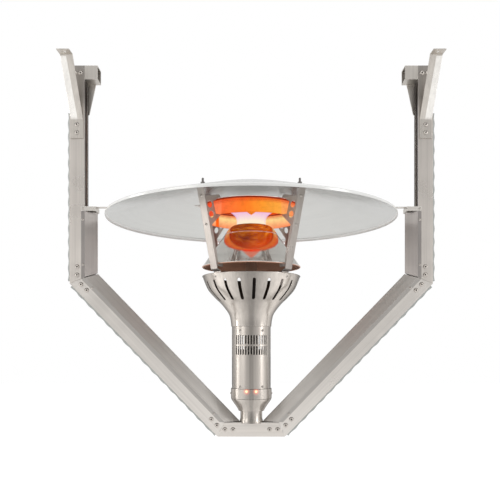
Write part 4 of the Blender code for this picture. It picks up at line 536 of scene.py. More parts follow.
# %% The steels of the frame
FRAME_STEEL = (0.66, 0.615, 0.57)
SLANT_STEEL = (0.74, 0.70, 0.655)
COVER_STEEL = (0.46, 0.435, 0.41)
# The arm covers take a darker steel than the slanted covers: painted shade on their inward faces.
SHADED_COVER_STEEL = (0.34, 0.315, 0.30)
SLANT = 46.0
finishes = by_name(
    metal("arm steel", FRAME_STEEL, 0.32, wear=0.12, bump=0.03),
    metal("left diagonal steel", SLANT_STEEL, 0.32, "x", SLANT, wear=0.12, bump=0.03),
    metal("right diagonal steel", SLANT_STEEL, 0.32, "x", -SLANT, wear=0.12, bump=0.03),
    metal("tray steel", (0.70, 0.655, 0.61), 0.34, "x"),
    metal("stub steel", (0.60, 0.565, 0.52), 0.32, wear=0.2),
    metal("gusset steel", (0.58, 0.51, 0.49), 0.36, wear=0.1, metallic=0.6),
    metal("bracket steel", (0.76, 0.72, 0.67), 0.30, "x"),
    metal("shaded arm cover", SHADED_COVER_STEEL, 0.36),
    metal("left slanted cover", COVER_STEEL, 0.36, "x", SLANT, metallic=0.55),
    metal("right slanted cover", COVER_STEEL, 0.36, "x", -SLANT, metallic=0.55),
    metal("strip alloy", (0.46, 0.475, 0.46), 0.45, metallic=0.4),
    metal("strap steel", (0.68, 0.65, 0.61), 0.30, wear=0.1, bump=0.03))
print(len(finishes), "steels on the frame")

# %% The metals of the head
HEAD_STEEL = (0.50, 0.46, 0.42)
COLLAR_LOOK = {"edge_tint": 0.30, "bump": 0.02, "smear": 0.03, "painted_fans": 0.2}
SHEET_METALLIC = 0.85
finishes |= by_name(
    metal("reflector sheet", (0.60, 0.60, 0.58), 0.20, "round", shade=0.03, metallic=SHEET_METALLIC,
          edge_tint=0.8, bump=0.03),
    metal("leg steel", (0.44, 0.40, 0.37), 0.32, heated=(0.08, 0.20, 0.30), metallic=0.65),
    metal("bowl steel", HEAD_STEEL, 0.22, shade=0.12, edge_tint=0.30, bump=0.02, smear=0.04, painted_fans=0.38),
    metal("housing steel", HEAD_STEEL, 0.30, shade=0.10, edge_tint=0.30, bump=0.02, smear=0.03, painted_fans=0.16),
    metal("collar steel", HEAD_STEEL, 0.26, **COLLAR_LOOK),
    # Inner faces of the shells, and the sleeve in the mixer, take this near-black steel.
    metal("near black steel", (0.05, 0.04, 0.03), 0.50, "round", wear=0.1, metallic=0.5),
    metal("scorched steel", (0.66, 0.35, 0.23), 0.40, "round", wear=0.1, metallic=0.3),
    metal("cone mirror", (0.66, 0.65, 0.63), 0.07, "round", shade=0.06, bump=0.10, smear=0.03,
          metallic=0.96, edge_tint=0.9),
    metal("hot steel", (0.34, 0.21, 0.15), 0.50, "round", heated=(0.05, 0.12, 0.5), metallic=0.5),
    metal("screw steel", (0.58, 0.54, 0.50), 0.30, "round", wear=0.0, radius=0.0004),
    metal("stud steel", (0.13, 0.12, 0.115), 0.35, "round", wear=0.1, metallic=0.6),
    # The dark steel of the screw recesses and of the line over each head is painted shade.
    metal("screw shade", (0.07, 0.06, 0.05), 0.55, "round", wear=0.0, radius=0.0002),
    metal("service steel", (0.42, 0.40, 0.38), 0.35),
    metal("yellow brass", (0.70, 0.50, 0.22), 0.28, "round"),
    metal("supply copper", (0.72, 0.40, 0.26), 0.30, "round"))
print(len(finishes), "metals in all")

# %% [markdown]
# ## How round pieces are made
# The head's shells were spun from flat discs or rolled from sheet, so each is a profile turned about the
# head's axis. A lathe gives many more sides than the measured model has, and rounds the lips as well.

# %% Tools for shells: paths and walls
def smooth_between(before, first, second, after, t):
    """The value at share t between the middle two of four values, on a curve that passes through them."""
    slope = second - before
    bend = 2 * before - 5 * first + 4 * second - after
    twist = 3 * first - before - 3 * second + after
    return 0.5 * (2 * first + slope * t + bend * t * t + twist * t ** 3)


def soft_path(points, steps=6):
    """A smooth path that passes through all its points, for a spun curve."""
    ends = [points[0], *points, points[-1]]
    path = []
    for index in range(1, len(ends) - 2):
        a, b, c, d = ends[index - 1:index + 3]
        for step in range(steps):
            t = step / steps
            path.append(tuple(smooth_between(*four, t) for four in zip(a, b, c, d)))
    return [*path, tuple(points[-1])]


def offset_path(path, wall):
    """The same path moved to its inner side by a wall's thickness."""
    moved = []
    for index, (radius, height) in enumerate(path):
        ahead = path[min(index + 1, len(path) - 1)]
        behind = path[max(index - 1, 0)]
        along = Vector((ahead[0] - behind[0], ahead[1] - behind[1])).normalized()
        moved.append((radius - along.y * wall, height + along.x * wall))
    return moved


def walled(path, wall):
    """A closed profile: the path, and back along it on its inner side."""
    return [*path, *reversed(offset_path(path, wall))]


print("paths ready")

# %% Tools for shells: bands, caps and turns
SIDES = 180
FINE_SIDES = 240


def band_between(mesh, first, second):
    """Faces between two closed rows of as many vertices."""
    faces = []
    for index in range(len(first)):
        after = (index + 1) % len(first)
        faces.append(mesh.faces.new((first[index], second[index], second[after], first[after])))
    return faces


def cap_ends(mesh, first, last):
    """One face over each end of a swept form."""
    mesh.faces.new(first)
    mesh.faces.new(list(reversed(last)))


def turned(profile, sides=SIDES, start=0.0, sweep=360.0):
    """A closed profile of (radius, height) turned about the head's axis, capped where the turn ends."""
    mesh = bmesh.new()
    full = sweep >= 360.0
    count = sides if full else sides + 1
    rings = []
    for index in range(count):
        angle = math.radians(start + sweep * index / sides)
        rings.append([mesh.verts.new((radius * math.sin(angle), -radius * math.cos(angle), height))
                      for radius, height in profile])
    for index in range(sides):
        band_between(mesh, rings[index], rings[(index + 1) % count])
    if not full:
        cap_ends(mesh, rings[0], rings[-1])
    return mesh


print("a full turn has", SIDES, "sides")

# %% Tools for shells: showing and lining
SMOOTH_UP_TO = 35.0


def show(name, mesh, finish, stands_for=(), smooth=SMOOTH_UP_TO, outward=True):
    """Turns mesh code into a shown piece that rides on the heater's body."""
    data = bpy.data.meshes.new(name)
    if outward:
        bmesh.ops.recalc_face_normals(mesh, faces=mesh.faces)
    mesh.to_mesh(data)
    mesh.free()
    data.shade_smooth()
    data.set_sharp_from_angle(angle=math.radians(smooth))
    data.materials.append(finish)
    made = bpy.data.objects.new(name, data)
    bpy.context.scene.collection.objects.link(made)
    if stands_for:
        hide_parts(*stands_for)
    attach(made, "heater")
    print(name, len(data.polygons), "faces")
    return made


def line_inside(made, finish, is_inside):
    """Gives a second finish to the faces for which a test of (centre, normal) holds."""
    made.data.materials.append(finish)
    for face in made.data.polygons:
        if is_inside(face.center, face.normal):
            face.material_index = 1


def faces_the_axis(centre, normal):
    """True for the inner side of a shell round the head's axis."""
    return normal.x * centre.x + normal.y * centre.y < -0.2 * math.hypot(centre.x, centre.y)


print("edges stay smooth up to", SMOOTH_UP_TO, "degrees")

# %% Tools for shells: cutting
def cut(made, cutter_mesh):
    """Cuts a piece's mesh with another mesh and throws the cutter away."""
    cutter_data = bpy.data.meshes.new("cutter")
    cutter_mesh.to_mesh(cutter_data)
    cutter_mesh.free()
    cutter = bpy.data.objects.new("cutter", cutter_data)
    bpy.context.scene.collection.objects.link(cutter)
    boolean = made.modifiers.new("cut", "BOOLEAN")
    boolean.operation = "DIFFERENCE"
    boolean.solver = "EXACT"
    boolean.object = cutter
    scene_graph = bpy.context.evaluated_depsgraph_get()
    carved = bpy.data.meshes.new_from_object(made.evaluated_get(scene_graph))
    carved.name = made.data.name
    made.modifiers.remove(boolean)
    made.data = carved
    bpy.data.objects.remove(cutter)
    carved.set_sharp_from_angle(angle=math.radians(SMOOTH_UP_TO))


def long_hole(mesh, low, high, width, near, far, angle, sides=8):
    """A cutter for one upright slot with round ends, through the wall at an angle round the axis."""
    outline = []
    half = width / 2
    for middle, first in ((high - half, 0.0), (low + half, math.pi)):
        for index in range(sides + 1):
            bend = first + math.pi * index / sides
            outline.append((half * math.cos(bend), middle + half * math.sin(bend)))
    facing = Matrix.Rotation(math.radians(angle), 4, "Z")
    front = [mesh.verts.new(facing @ Vector((across, -far, height))) for across, height in outline]
    rear = [mesh.verts.new(facing @ Vector((across, -near, height))) for across, height in outline]
    cap_ends(mesh, front, rear)
    band_between(mesh, front, rear)


print("cutting tools ready")

# %% [markdown]
# ## The slotted bowl
# The bowl is spun from steel, its lip rolled over, and twenty long slots are punched round its wide part
# to let air in. The profile is a smooth path through measured points, and real slots are cut through it,
# because light falls through them from behind.

# %% Spin the bowl
BOWL_SKIRT = (0.0585, 0.3196)
BOWL_RIM = (0.142, 0.4667)
BOWL_WALL = 0.0015
BOWL_SHARES = ((0.03, 0.14), (0.10, 0.26), (0.325, 0.43), (0.575, 0.57), (0.81, 0.725), (0.95, 0.90),
               (1.0, 0.985))
BEAD_RADIUS = 0.0022
BEAD_INSET = 0.0010
BEAD_TURNS = (100.0, 60.0, 20.0, -20.0, -60.0, -100.0)


def bowl_point(share_out, share_up):
    """A point between the bowl's skirt and its rim."""
    return (BOWL_SKIRT[0] + (BOWL_RIM[0] - BOWL_SKIRT[0]) * share_out,
            BOWL_SKIRT[1] + (BOWL_RIM[1] - BOWL_SKIRT[1]) * share_up)


bowl_path = soft_path([BOWL_SKIRT, *[bowl_point(*share) for share in BOWL_SHARES]], 8)
bead_centre = (BOWL_RIM[0] - BEAD_INSET, BOWL_RIM[1] - BEAD_RADIUS)
bead = [(bead_centre[0] + BEAD_RADIUS * math.sin(math.radians(turn)),
         bead_centre[1] + BEAD_RADIUS * math.cos(math.radians(turn))) for turn in BEAD_TURNS]
bowl_profile = [*bowl_path, *bead, *reversed(offset_path(bowl_path, BOWL_WALL))]
bowl = show("bowl", turned(bowl_profile), finishes["bowl steel"], stands_for=("slotted_bowl",))

# %% Punch the bowl's slots
BOWL_SLOT_COUNT = 20
BOWL_SLOT_FIRST = 3.5
BOWL_SLOT_WIDTH = 0.0090
BOWL_SLOT_ENDS = (0.3925, 0.4490)
BOWL_CUT_REACH = (0.09, 0.16)
slots = bmesh.new()
for index in range(BOWL_SLOT_COUNT):
    angle = BOWL_SLOT_FIRST + 360.0 * index / BOWL_SLOT_COUNT
    long_hole(slots, *BOWL_SLOT_ENDS, BOWL_SLOT_WIDTH, *BOWL_CUT_REACH, angle)
cut(bowl, slots)
line_inside(bowl, finishes["near black steel"], faces_the_axis)
print(BOWL_SLOT_COUNT, "slots,", len(bowl.data.polygons), "faces")

# %% [markdown]
# ## The polished cone
# Over the burner sits a cone of mirror-polished steel that throws the heat out. Its crown is a separate cap
# that laps over the cone, which leaves a thin bright line, and its rim is folded under. Most of the cone's
# dark orange picture is the mirror image of the hot plate and the glowing ring above it, and the orange V
# below the ring's front tongue is a painted reflection of that glow.

# %% Spin the cone
CONE_CROWN = [(0.0505, 0.6105), (0.0540, 0.6103), (0.0580, 0.6090), (0.0612, 0.6068)]
CONE_SHOULDER = (0.0620, 0.6060)
CONE_RIM = (0.1405, 0.4966)
CONE_WALL = 0.0008
CROWN_LAP = 0.0009
SEAM_SHARES = ((0.02, 1.0), (0.179, 1.0), (0.183, 0.85), (0.187, 0.45), (0.188, 0.0))
CONE_HEM = [(0.1427, 0.4940), (0.1431, 0.4925), (0.1424, 0.4912), (0.1411, 0.4925)]
slope = Vector((CONE_RIM[0] - CONE_SHOULDER[0], CONE_RIM[1] - CONE_SHOULDER[1]))
outward = Vector((-slope.y, slope.x)).normalized() * CROWN_LAP
seam = [tuple(Vector(CONE_SHOULDER) + slope * share + outward * lift) for share, lift in SEAM_SHARES]
cone_path = [*soft_path(CONE_CROWN, 4), *seam, CONE_RIM, *CONE_HEM]
cone = show("cone", turned(walled(list(reversed(cone_path)), -CONE_WALL)[::-1]), finishes["cone mirror"],
            stands_for=("polished_cone",), smooth=24.0)
line_inside(cone, finishes["scorched steel"], lambda centre, normal: normal.z < -0.2)

# %% The painted reflection of the ring's glow below its front tongue
GLOW_V_FOOT = 0.5000
GLOW_V_TOP = 0.5240
GLOW_V_END = 0.5320
GLOW_V_HALF = 0.0240
GLOW_V_SHARE = 0.92
GLOW_V_SOFT = (-0.004, 0.003)
PAINTED_GLOW_COLOUR = (0.98, 0.27, 0.17)
CONE_REACH = 0.12
tree = finishes["cone mirror"].node_tree
wrapped = grouped(tree, around, place_on(tree))
climb = span(tree, wrapped["Up"], GLOW_V_FOOT, GLOW_V_TOP)
reach = times(tree, math_node(tree, "ABSOLUTE", wrapped["Way"]), math.pi * CONE_REACH)
beyond = math_node(tree, "SUBTRACT", reach, times(tree, climb, GLOW_V_HALF))
painted_glow_v = times(tree, span(tree, beyond, *GLOW_V_SOFT, 1.0, 0.0),
              span(tree, wrapped["Up"], GLOW_V_FOOT - 0.002, GLOW_V_FOOT + 0.006),
              span(tree, wrapped["Up"], GLOW_V_TOP, GLOW_V_END, GLOW_V_SHARE, 0.0))
# Painted reflection: an orange V of the ring's glow on the cone's front, below the tongue.
painted_over(tree, painted_glow_v, PAINTED_GLOW_COLOUR)
print("cone mirror", len(tree.nodes), "nodes")

# %% [markdown]
# ## The reflector
# A shallow dish of bright sheet over the burner. It is spun too: a flat crown, a gently sloping skirt with
# faint rings where the tool passed, and a lip turned down at the edge.

# %% Spin the reflector
REFLECTOR_SHEET = 0.001
REFLECTOR_CROWN = [(0.0, 0.70939), (0.120, 0.70939), (0.158, 0.7094), (0.166, 0.7088), (0.174, 0.7068)]
SKIRT_START = (0.180, 0.7051)
SKIRT_END = (0.4125, 0.6388)
REFLECTOR_LIP = [(0.4165, 0.6372), (0.4187, 0.6350), (0.4190, 0.6300)]
SKIRT_STEPS = 24
RING_DEPTH = 0.00012
skirt = []
for step in range(SKIRT_STEPS + 1):
    share = step / SKIRT_STEPS
    radius = SKIRT_START[0] + (SKIRT_END[0] - SKIRT_START[0]) * share
    height = SKIRT_START[1] + (SKIRT_END[1] - SKIRT_START[1]) * share
    skirt.append((radius, height + RING_DEPTH * math.cos(math.pi * step)))
reflector_path = [*REFLECTOR_CROWN, *skirt, *REFLECTOR_LIP]
under = [(max(radius - REFLECTOR_SHEET, 0.0), height - REFLECTOR_SHEET)
         for radius, height in reversed(reflector_path)]
show("reflector_dish", turned([*reflector_path, *under], FINE_SIDES), finishes["reflector sheet"],
     stands_for=("reflector",))

# %% The reflector's crown and lip, painted paler against shade and dark reflection
LIP_START = 0.4140
LIP_PAINTED_LIGHT = (0.84, 0.84, 0.82)
LIP_DULLS = 0.70
CROWN_EDGE = 0.1250
CROWN_FADE = 0.0250
CROWN_PAINTED_LIGHT = (0.92, 0.92, 0.91)
CROWN_DULLS = 0.45
tree = finishes["reflector sheet"].node_tree
outwards = grouped(tree, around, place_on(tree))["Out"]
lit_lip = span(tree, outwards, LIP_START, LIP_START + 0.001)
lit_crown = times(tree, span(tree, face_way(tree)["Z"], -0.8, -0.6, 1.0, 0.0),
              span(tree, outwards, CROWN_EDGE - CROWN_FADE, CROWN_EDGE + CROWN_FADE, 1.0, 0.0))
# Painted light: the crown is painted paler where it lies in shade over the ring, and the lip paler where it
# mirrors dark.
painted_over(tree, lit_crown, CROWN_PAINTED_LIGHT)
painted_over(tree, lit_lip, LIP_PAINTED_LIGHT)
dull = math_node(tree, "ADD", times(tree, lit_lip, LIP_DULLS), times(tree, lit_crown, CROWN_DULLS))
tree.links.new(math_node(tree, "SUBTRACT", SHEET_METALLIC, dull),
               tree.nodes["Principled BSDF"].inputs["Metallic"])
print("reflector sheet", len(tree.nodes), "nodes")

# %% [markdown]
# ## Neck, cup and collar
# Three turned pieces carry the head on the tray: a short neck with a flared foot, a cup that widens
# upward, and a plain collar that holds the two indicator lamps. All three are lathe profiles with walls.

# %% Turn the neck and the cup
NECK_PATH = [(0.0344, 0.0386), (0.0343, 0.0420), (0.0336, 0.0470), (0.0326, 0.0510), (0.0322, 0.0530),
             (0.0322, 0.0739)]
NECK_WALL = 0.002
CUP_PATH = [(0.0379, 0.0742), (0.0398, 0.0790), (0.0450, 0.0875), (0.0530, 0.0985), (0.0578, 0.1060),
            (0.0590, 0.1097)]
CUP_WALL = 0.0015
CUP_FLOOR = [(0.0235, 0.0757), (0.0235, 0.0742)]
show("neck", turned(walled(NECK_PATH, NECK_WALL)), finishes["collar steel"], stands_for=("neck_tube",))
cup_path = soft_path(CUP_PATH, 5)
cup_inside = [(radius - CUP_WALL, height) for radius, height in reversed(cup_path)][:-2]
show("cup", turned([*cup_path, *cup_inside, *CUP_FLOOR]), finishes["collar steel"], stands_for=("base_cup",))

# %% [markdown]
# The collar's finish also carries a painted glow: a small red halo of the lamps' light is painted on the
# steel as emission round each lamp. Its strength falls off with the distance from each lamp, and it sits on
# the steel itself.

# %% Turn the collar and paint a glow round its lamps
LAMP_PLACES = ((-0.0137, -0.0581, 0.1335), (0.0137, -0.0581, 0.1335))
HALO_SPAN = (0.0030, 0.0155)
HALO_FALL = 2.5
COLLAR_PATH = [(0.0590, 0.1103), (0.0597, 0.1110), (0.0597, 0.1388), (0.0590, 0.1395)]
COLLAR_WALL = 0.0015
collar_finish = metal("lit collar steel", HEAD_STEEL, 0.26, **COLLAR_LOOK)
tree = collar_finish.node_tree
shader = tree.nodes["Principled BSDF"]
place = place_on(tree)
halos = []
for lamp_place in LAMP_PLACES:
    nearness = span(tree, distance_from(tree, place, lamp_place), *HALO_SPAN, 1.0, 0.0)
    halos.append(math_node(tree, "POWER", nearness, HALO_FALL))
painted_halo = math_node(tree, "ADD", *halos, clamp=True)
painted_halo_colour = ramp(tree, painted_halo, (0.0, (0.0, 0.0, 0.0)), (0.35, (0.32, 0.02, 0.0)), (1.0, (1.0, 0.22, 0.03)))
tree.links.new(painted_halo_colour, shader.inputs["Emission Color"])
shader.inputs["Emission Strength"].default_value = 0.8
show("collar", turned(walled(COLLAR_PATH, COLLAR_WALL)), collar_finish, stands_for=("indicator_collar",))

# %% Finish of the two lamp lenses
LENS_CELLS = 900.0
lens_finish, tree, shader = fresh_finish("lit lens", {
    "Base Color": (0.80, 0.30, 0.12, 1.0), "Roughness": 0.15, "Emission Strength": 1.3})
cells = noise(tree, place_on(tree), LENS_CELLS, 2.0)
tree.links.new(ramp(tree, cells, (0.3, (1.0, 0.55, 0.25)), (0.6, (1.0, 0.86, 0.62))),
               shader.inputs["Emission Color"])


def give_finish(finish, *node_names):
    """Gives measured pieces a finish in place of their plain one."""
    for node_name in node_names:
        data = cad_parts[node_name].data
        data.materials.clear()
        data.materials.append(finish)
    print(finish.name, "on", ", ".join(node_names))


give_finish(lens_finish, "indicator_lens_left", "indicator_lens_right")

# %% [markdown]
# ## Housing and front cover
# The housing is a rolled tube, open in front, with a ring at its top; a curved service cover closes it.
# Rows of slots are punched round the whole of it, and the cover repeats them, so all are real holes here.

# %% Finish of the housing's perforated sides
SHEET_ENDS = (0.1450, 0.2320)
SHEET_FRONT = (0.38, 0.39)
SHEET_EDGE = 0.0005
side_finish = metal("perforated housing steel", (0.42, 0.39, 0.36), 0.26, edge_tint=0.30, bump=0.02)
tree = side_finish.node_tree
dots = grouped(tree, holes, place_on(tree), Around=96.0, Pitch=0.0036)
wrapped = grouped(tree, around, place_on(tree))
sheet = times(tree, span(tree, wrapped["Up"], SHEET_ENDS[1], SHEET_ENDS[1] + SHEET_EDGE, 1.0, 0.0),
              span(tree, wrapped["Up"], SHEET_ENDS[0], SHEET_ENDS[0] + SHEET_EDGE),
              span(tree, math_node(tree, "ABSOLUTE", wrapped["Way"]), *SHEET_FRONT))
painted_over(tree, times(tree, dots["Hole"], sheet), (0.02, 0.018, 0.015))
print(side_finish.name, len(tree.nodes), "nodes")

# %% Roll the housing and its front cover
HOUSING_OUT = 0.0567
HOUSING_WALL = 0.0015
HOUSING_LOW = 0.1398
HOUSING_HIGH = 0.3185
COVER_HALF = 57.0
COVER_GAP = 0.6
HOUSING_TOP = [(0.0518, 0.3300), (0.0560, 0.3300), (0.0567, 0.3293), (0.0567, 0.3185), (0.0552, 0.3185),
               (0.0552, 0.3285), (0.0518, 0.3285)]
show("housing_top_ring", turned(HOUSING_TOP), finishes["housing steel"])
housing_inner = HOUSING_OUT - HOUSING_WALL
housing_profile = [(HOUSING_OUT, HOUSING_LOW), (HOUSING_OUT, HOUSING_HIGH), (housing_inner, HOUSING_HIGH),
                   (housing_inner, HOUSING_LOW)]
shell_sweep = 360.0 - 2 * (COVER_HALF + COVER_GAP)
rear_mesh = turned(housing_profile, 120, start=COVER_HALF + COVER_GAP, sweep=shell_sweep)
rear_shell = show("housing_shell", rear_mesh, side_finish, stands_for=("rear_housing",))
front_mesh = turned(housing_profile, 90, start=-COVER_HALF, sweep=2 * COVER_HALF)
front_cover = show("service_cover", front_mesh, finishes["housing steel"],
                   stands_for=("front_service_cover",))

# %% Punch the housing's slots
SLOT_PITCH = 8.1
SLOT_WIDTH = 0.0043
SLOT_ROWS = ((0.2670, 0.2940), (0.2374, 0.2627))
SLOT_CUT_REACH = (0.04, 0.07)


def punch(made, middle, either_side):
    """Cuts both rows of slots: one at the middle angle, and so many on either side of it."""
    slots = bmesh.new()
    for step in range(-either_side, either_side + 1):
        for low, high in SLOT_ROWS:
            long_hole(slots, low, high, SLOT_WIDTH, *SLOT_CUT_REACH, middle + SLOT_PITCH * step)
    cut(made, slots)
    line_inside(made, finishes["near black steel"], faces_the_axis)
    print(made.name, 2 * either_side + 1, "slots a row")


punch(front_cover, 0.0, 6)
punch(rear_shell, 180.0, 13)

# %% [markdown]
# Behind the slots the housing is lined with a black felt sleeve, put there as painted shade, so that the
# slots show dark. Its upper edge sags towards the sides, so the lower row of slots shows daylight at its top
# and black below.

# %% Line the housing
LINER_RADIUS = 0.0545
LINER_WALL = 0.0006
LINER_FOOT = HOUSING_LOW + 0.001
LINER_TOP = 0.2535
LINER_SAG = 0.0045
FELT_CELLS = 1400.0
shade_felt, tree, shader = fresh_finish("black shade felt", {"Roughness": 0.95, "Specular IOR Level": 0.1})
fibres = noise(tree, place_on(tree), FELT_CELLS, 3.0)
tree.links.new(ramp(tree, fibres, (0.3, (0.008, 0.007, 0.006)), (0.8, (0.030, 0.027, 0.024))),
               shader.inputs["Base Color"])
liner_inner = LINER_RADIUS - LINER_WALL
liner_profile = [(LINER_RADIUS, LINER_FOOT), (LINER_RADIUS, LINER_TOP), (liner_inner, LINER_TOP),
                 (liner_inner, LINER_FOOT)]
liner_mesh = turned(liner_profile, 72, start=92.0, sweep=176.0)
for vertex in liner_mesh.verts:
    if vertex.co.z > LINER_TOP - 0.001:
        vertex.co.z -= LINER_SAG * (vertex.co.x / LINER_RADIUS) ** 2
show("housing_liner", liner_mesh, shade_felt)

# %% [markdown]
# ## The glowing ring
# A band of punched sheet stands on the four legs' hooks and glows orange. It is one strip for each quarter
# of the way round, and the strips overlap behind the legs, where the doubled sheet glows paler. A small
# tongue hangs down at the front. All of its light is emission, mixed from its place on the band.

# %% Colours of the ring's outer side
RING_RADIUS = 0.1365
RING_WALL = 0.0015
RING_LOW = 0.6274
RING_HIGH = 0.6712
LEG_WAY = 0.245
WANDER_CELLS = 24.0
WANDER = 0.06
glow, tree, shader = fresh_finish("glowing mesh", {
    "Base Color": (0.04, 0.012, 0.005, 1.0), "Roughness": 0.8, "Specular IOR Level": 0.05,
    "Emission Strength": 1.0})
place = place_on(tree)
wrapped = grouped(tree, around, place)
way = wrapped["Way"]
sideways = math_node(tree, "ABSOLUTE", way)
lively = math_node(tree, "ADD", way, times(tree, noise(tree, place, WANDER_CELLS), WANDER))
outside = ramp(tree, span(tree, lively, -0.30, 0.36),
               (0.0, (0.90, 0.08, 0.03)), (0.12, (1.0, 0.15, 0.05)), (0.45, (1.0, 0.21, 0.02)),
               (0.62, (1.0, 0.34, 0.03)), (0.82, (1.0, 0.42, 0.06)), (1.0, (1.0, 0.30, 0.12)))
from_leg = math_node(tree, "ABSOLUTE", math_node(tree, "SUBTRACT", sideways, LEG_WAY))
outside = blended(tree, span(tree, from_leg, 0.034, 0.044, 0.40, 0.0), outside, (1.0, 0.34, 0.16))
print("outer side:", len(tree.nodes), "nodes")

# %% Colours of the ring's inner side
REAR_LAP_WAY = 0.72
rise = span(tree, wrapped["Up"], RING_LOW, RING_HIGH)
inside = ramp(tree, rise, (0.0, (1.0, 0.28, 0.12)), (0.35, (1.0, 0.52, 0.22)), (0.75, (1.0, 0.78, 0.32)),
              (1.0, (1.0, 0.70, 0.28)))
from_lap = math_node(tree, "ABSOLUTE", math_node(tree, "ADD", way, REAR_LAP_WAY))
inside = blended(tree, span(tree, from_lap, 0.012, 0.022, 1.0, 0.0), inside, (1.0, 0.13, 0.01))
front_inside = ramp(tree, rise, (0.0, (0.85, 0.10, 0.04)), (0.5, (1.0, 0.20, 0.03)),
                    (1.0, (1.0, 0.30, 0.04)))
inside = blended(tree, span(tree, sideways, 0.52, 0.68), front_inside, inside)
middle_of_wall = RING_RADIUS - RING_WALL / 2
is_inner = span(tree, wrapped["Out"], middle_of_wall - 0.0002, middle_of_wall + 0.0002, 1.0, 0.0)
colour = blended(tree, is_inner, outside, inside)
print("both sides:", len(tree.nodes), "nodes")

# %% Edges, dots and a painted shadow line of the ring
EDGE_SHARE = 0.85
EDGE_DOTS = 0.55
FIELD_DOTS = 0.10
PATCH_CELLS = 60.0
top_edge = span(tree, rise, 0.62, 0.92)
colour = blended(tree, times(tree, top_edge, EDGE_SHARE), colour, (0.84, 0.08, 0.02))
# Painted shadow: a dark line along the top edge, where the gap under the plate lies in shade.
colour = blended(tree, span(tree, rise, 0.90, 0.95), colour, (0.10, 0.012, 0.006))
dots = grouped(tree, holes, place, Around=170.0, Pitch=0.0044)
low_edge = span(tree, rise, 0.0, 0.10, 1.0, 0.0)
edge_dots = times(tree, math_node(tree, "ADD", top_edge, low_edge), EDGE_DOTS)
dotted = times(tree, dots["Hole"], math_node(tree, "ADD", edge_dots, FIELD_DOTS))
colour = blended(tree, dotted, colour, (0.35, 0.02, 0.0))
patchy = span(tree, noise(tree, place, PATCH_CELLS, 4.0), *NOISE_SWING, 0.86, 1.10)
tree.links.new(blended(tree, 1.0, colour, patchy, "MULTIPLY"), shader.inputs["Emission Color"])
print(glow.name, len(tree.nodes), "nodes")

# %% Roll the glowing ring and its tongue
TONGUE_HALF = 0.0120
TONGUE_DROP = 0.0085
RING_INNER = RING_RADIUS - RING_WALL
ring_mesh = turned([(RING_RADIUS, RING_LOW), (RING_RADIUS, RING_HIGH), (RING_INNER, RING_HIGH),
                    (RING_INNER, RING_LOW)], FINE_SIDES)
front, back = [], []
for across, drop in ((-TONGUE_HALF, 0.0), (0.0, TONGUE_DROP), (TONGUE_HALF, 0.0)):
    turn = across / RING_RADIUS
    for row, radius in ((front, RING_RADIUS), (back, RING_INNER)):
        row.append(ring_mesh.verts.new((radius * math.sin(turn), -radius * math.cos(turn), RING_LOW - drop)))
cap_ends(ring_mesh, front, back)
band_between(ring_mesh, front, back)
show("glowing_ring", ring_mesh, glow, stands_for=("upper_emitter_ring",))

# %% [markdown]
# ## The hot plate over the ring
# The plate that closes the ring is pale bright metal above, and orange below, where the flame licks it.
# Only faces that look down glow. The glow is streaked round the axis, turns redder towards the rim, and is
# painted brighter to the right of the front, as a highlight.

# %% Finish of the hot plate
STREAKS = (1.6, 130.0, 1.0)
PLATE_RIM = (0.112, 0.134)
plate_finish = metal("hot plate", (0.92, 0.92, 0.90), 0.20, "round", metallic=0.85)
tree = plate_finish.node_tree
shader = tree.nodes["Principled BSDF"]
down = span(tree, face_way(tree)["Z"], -0.9, -0.7, 1.0, 0.0)
wrapped = grouped(tree, around, place_on(tree), Stretch=STREAKS)
streaks = span(tree, noise(tree, wrapped["Place"], 1.0, 2.0), 0.32, 0.68)
embers = ramp(tree, streaks, (0.0, (0.22, 0.012, 0.0)), (0.5, (0.50, 0.075, 0.0)), (1.0, (0.88, 0.24, 0.01)))
embers = blended(tree, span(tree, wrapped["Out"], *PLATE_RIM), embers, (0.62, 0.045, 0.0))
# Painted highlight: the glow is brighter to the right of the front.
painted_highlight_right = span(tree, wrapped["Way"], -0.12, 0.14, 0.88, 1.50)
painted_over(tree, down, (0.03, 0.01, 0.005))
tree.links.new(blended(tree, 1.0, embers, times(tree, down, painted_highlight_right), "MULTIPLY"),
               shader.inputs["Emission Color"])
shader.inputs["Emission Strength"].default_value = 1.0
give_finish(plate_finish, "emitter_top_plate")

# %% [markdown]
# ## The flame
# Gas burns in a bell between the burner and the plate: pale yellow where it leaves the burner, pink and
# lilac where it spreads under the plate. A flame is thin glowing gas, so it is two nested skins that only
# give light and let most of what lies behind show through. The outer skin alone is seen at the edges.

# %% Shape and light the flame
FLAME_PATH = [(0.0425, 0.6150), (0.0425, 0.6250), (0.0432, 0.6330), (0.0465, 0.6410), (0.0530, 0.6480),
              (0.0620, 0.6550), (0.0760, 0.6620), (0.0950, 0.6680)]
FLAME_FOOT = 0.620
FLAME_BLOOM = 0.648
FLICKER_STRETCH = (9.0, 60.0, 30.0)
FLICKER_SHARE = 0.5
CORE_INSET = 0.0035
SKIN_WALL = 0.0002


def flame_finish(name, low, high, clear_low, clear_high):
    """Light with no surface: a colour from the flame's foot to its top, and how much it hides."""
    made, tree, shader = fresh_finish(name, {
        "Base Color": (0.0, 0.0, 0.0, 1.0), "Specular IOR Level": 0.0, "Roughness": 1.0,
        "Emission Strength": 1.0})
    wrapped = grouped(tree, around, place_on(tree), Stretch=FLICKER_STRETCH)
    flicker = math_node(tree, "SUBTRACT", noise(tree, wrapped["Place"], 1.0, 3.0), 0.5)
    climb = math_node(tree, "ADD", span(tree, wrapped["Up"], FLAME_FOOT, FLAME_BLOOM),
                      times(tree, flicker, FLICKER_SHARE))
    tree.links.new(ramp(tree, climb, (0.05, low), (0.85, high)), shader.inputs["Emission Color"])
    tree.links.new(span(tree, climb, 0.0, 1.0, clear_low, clear_high), shader.inputs["Alpha"])
    return made


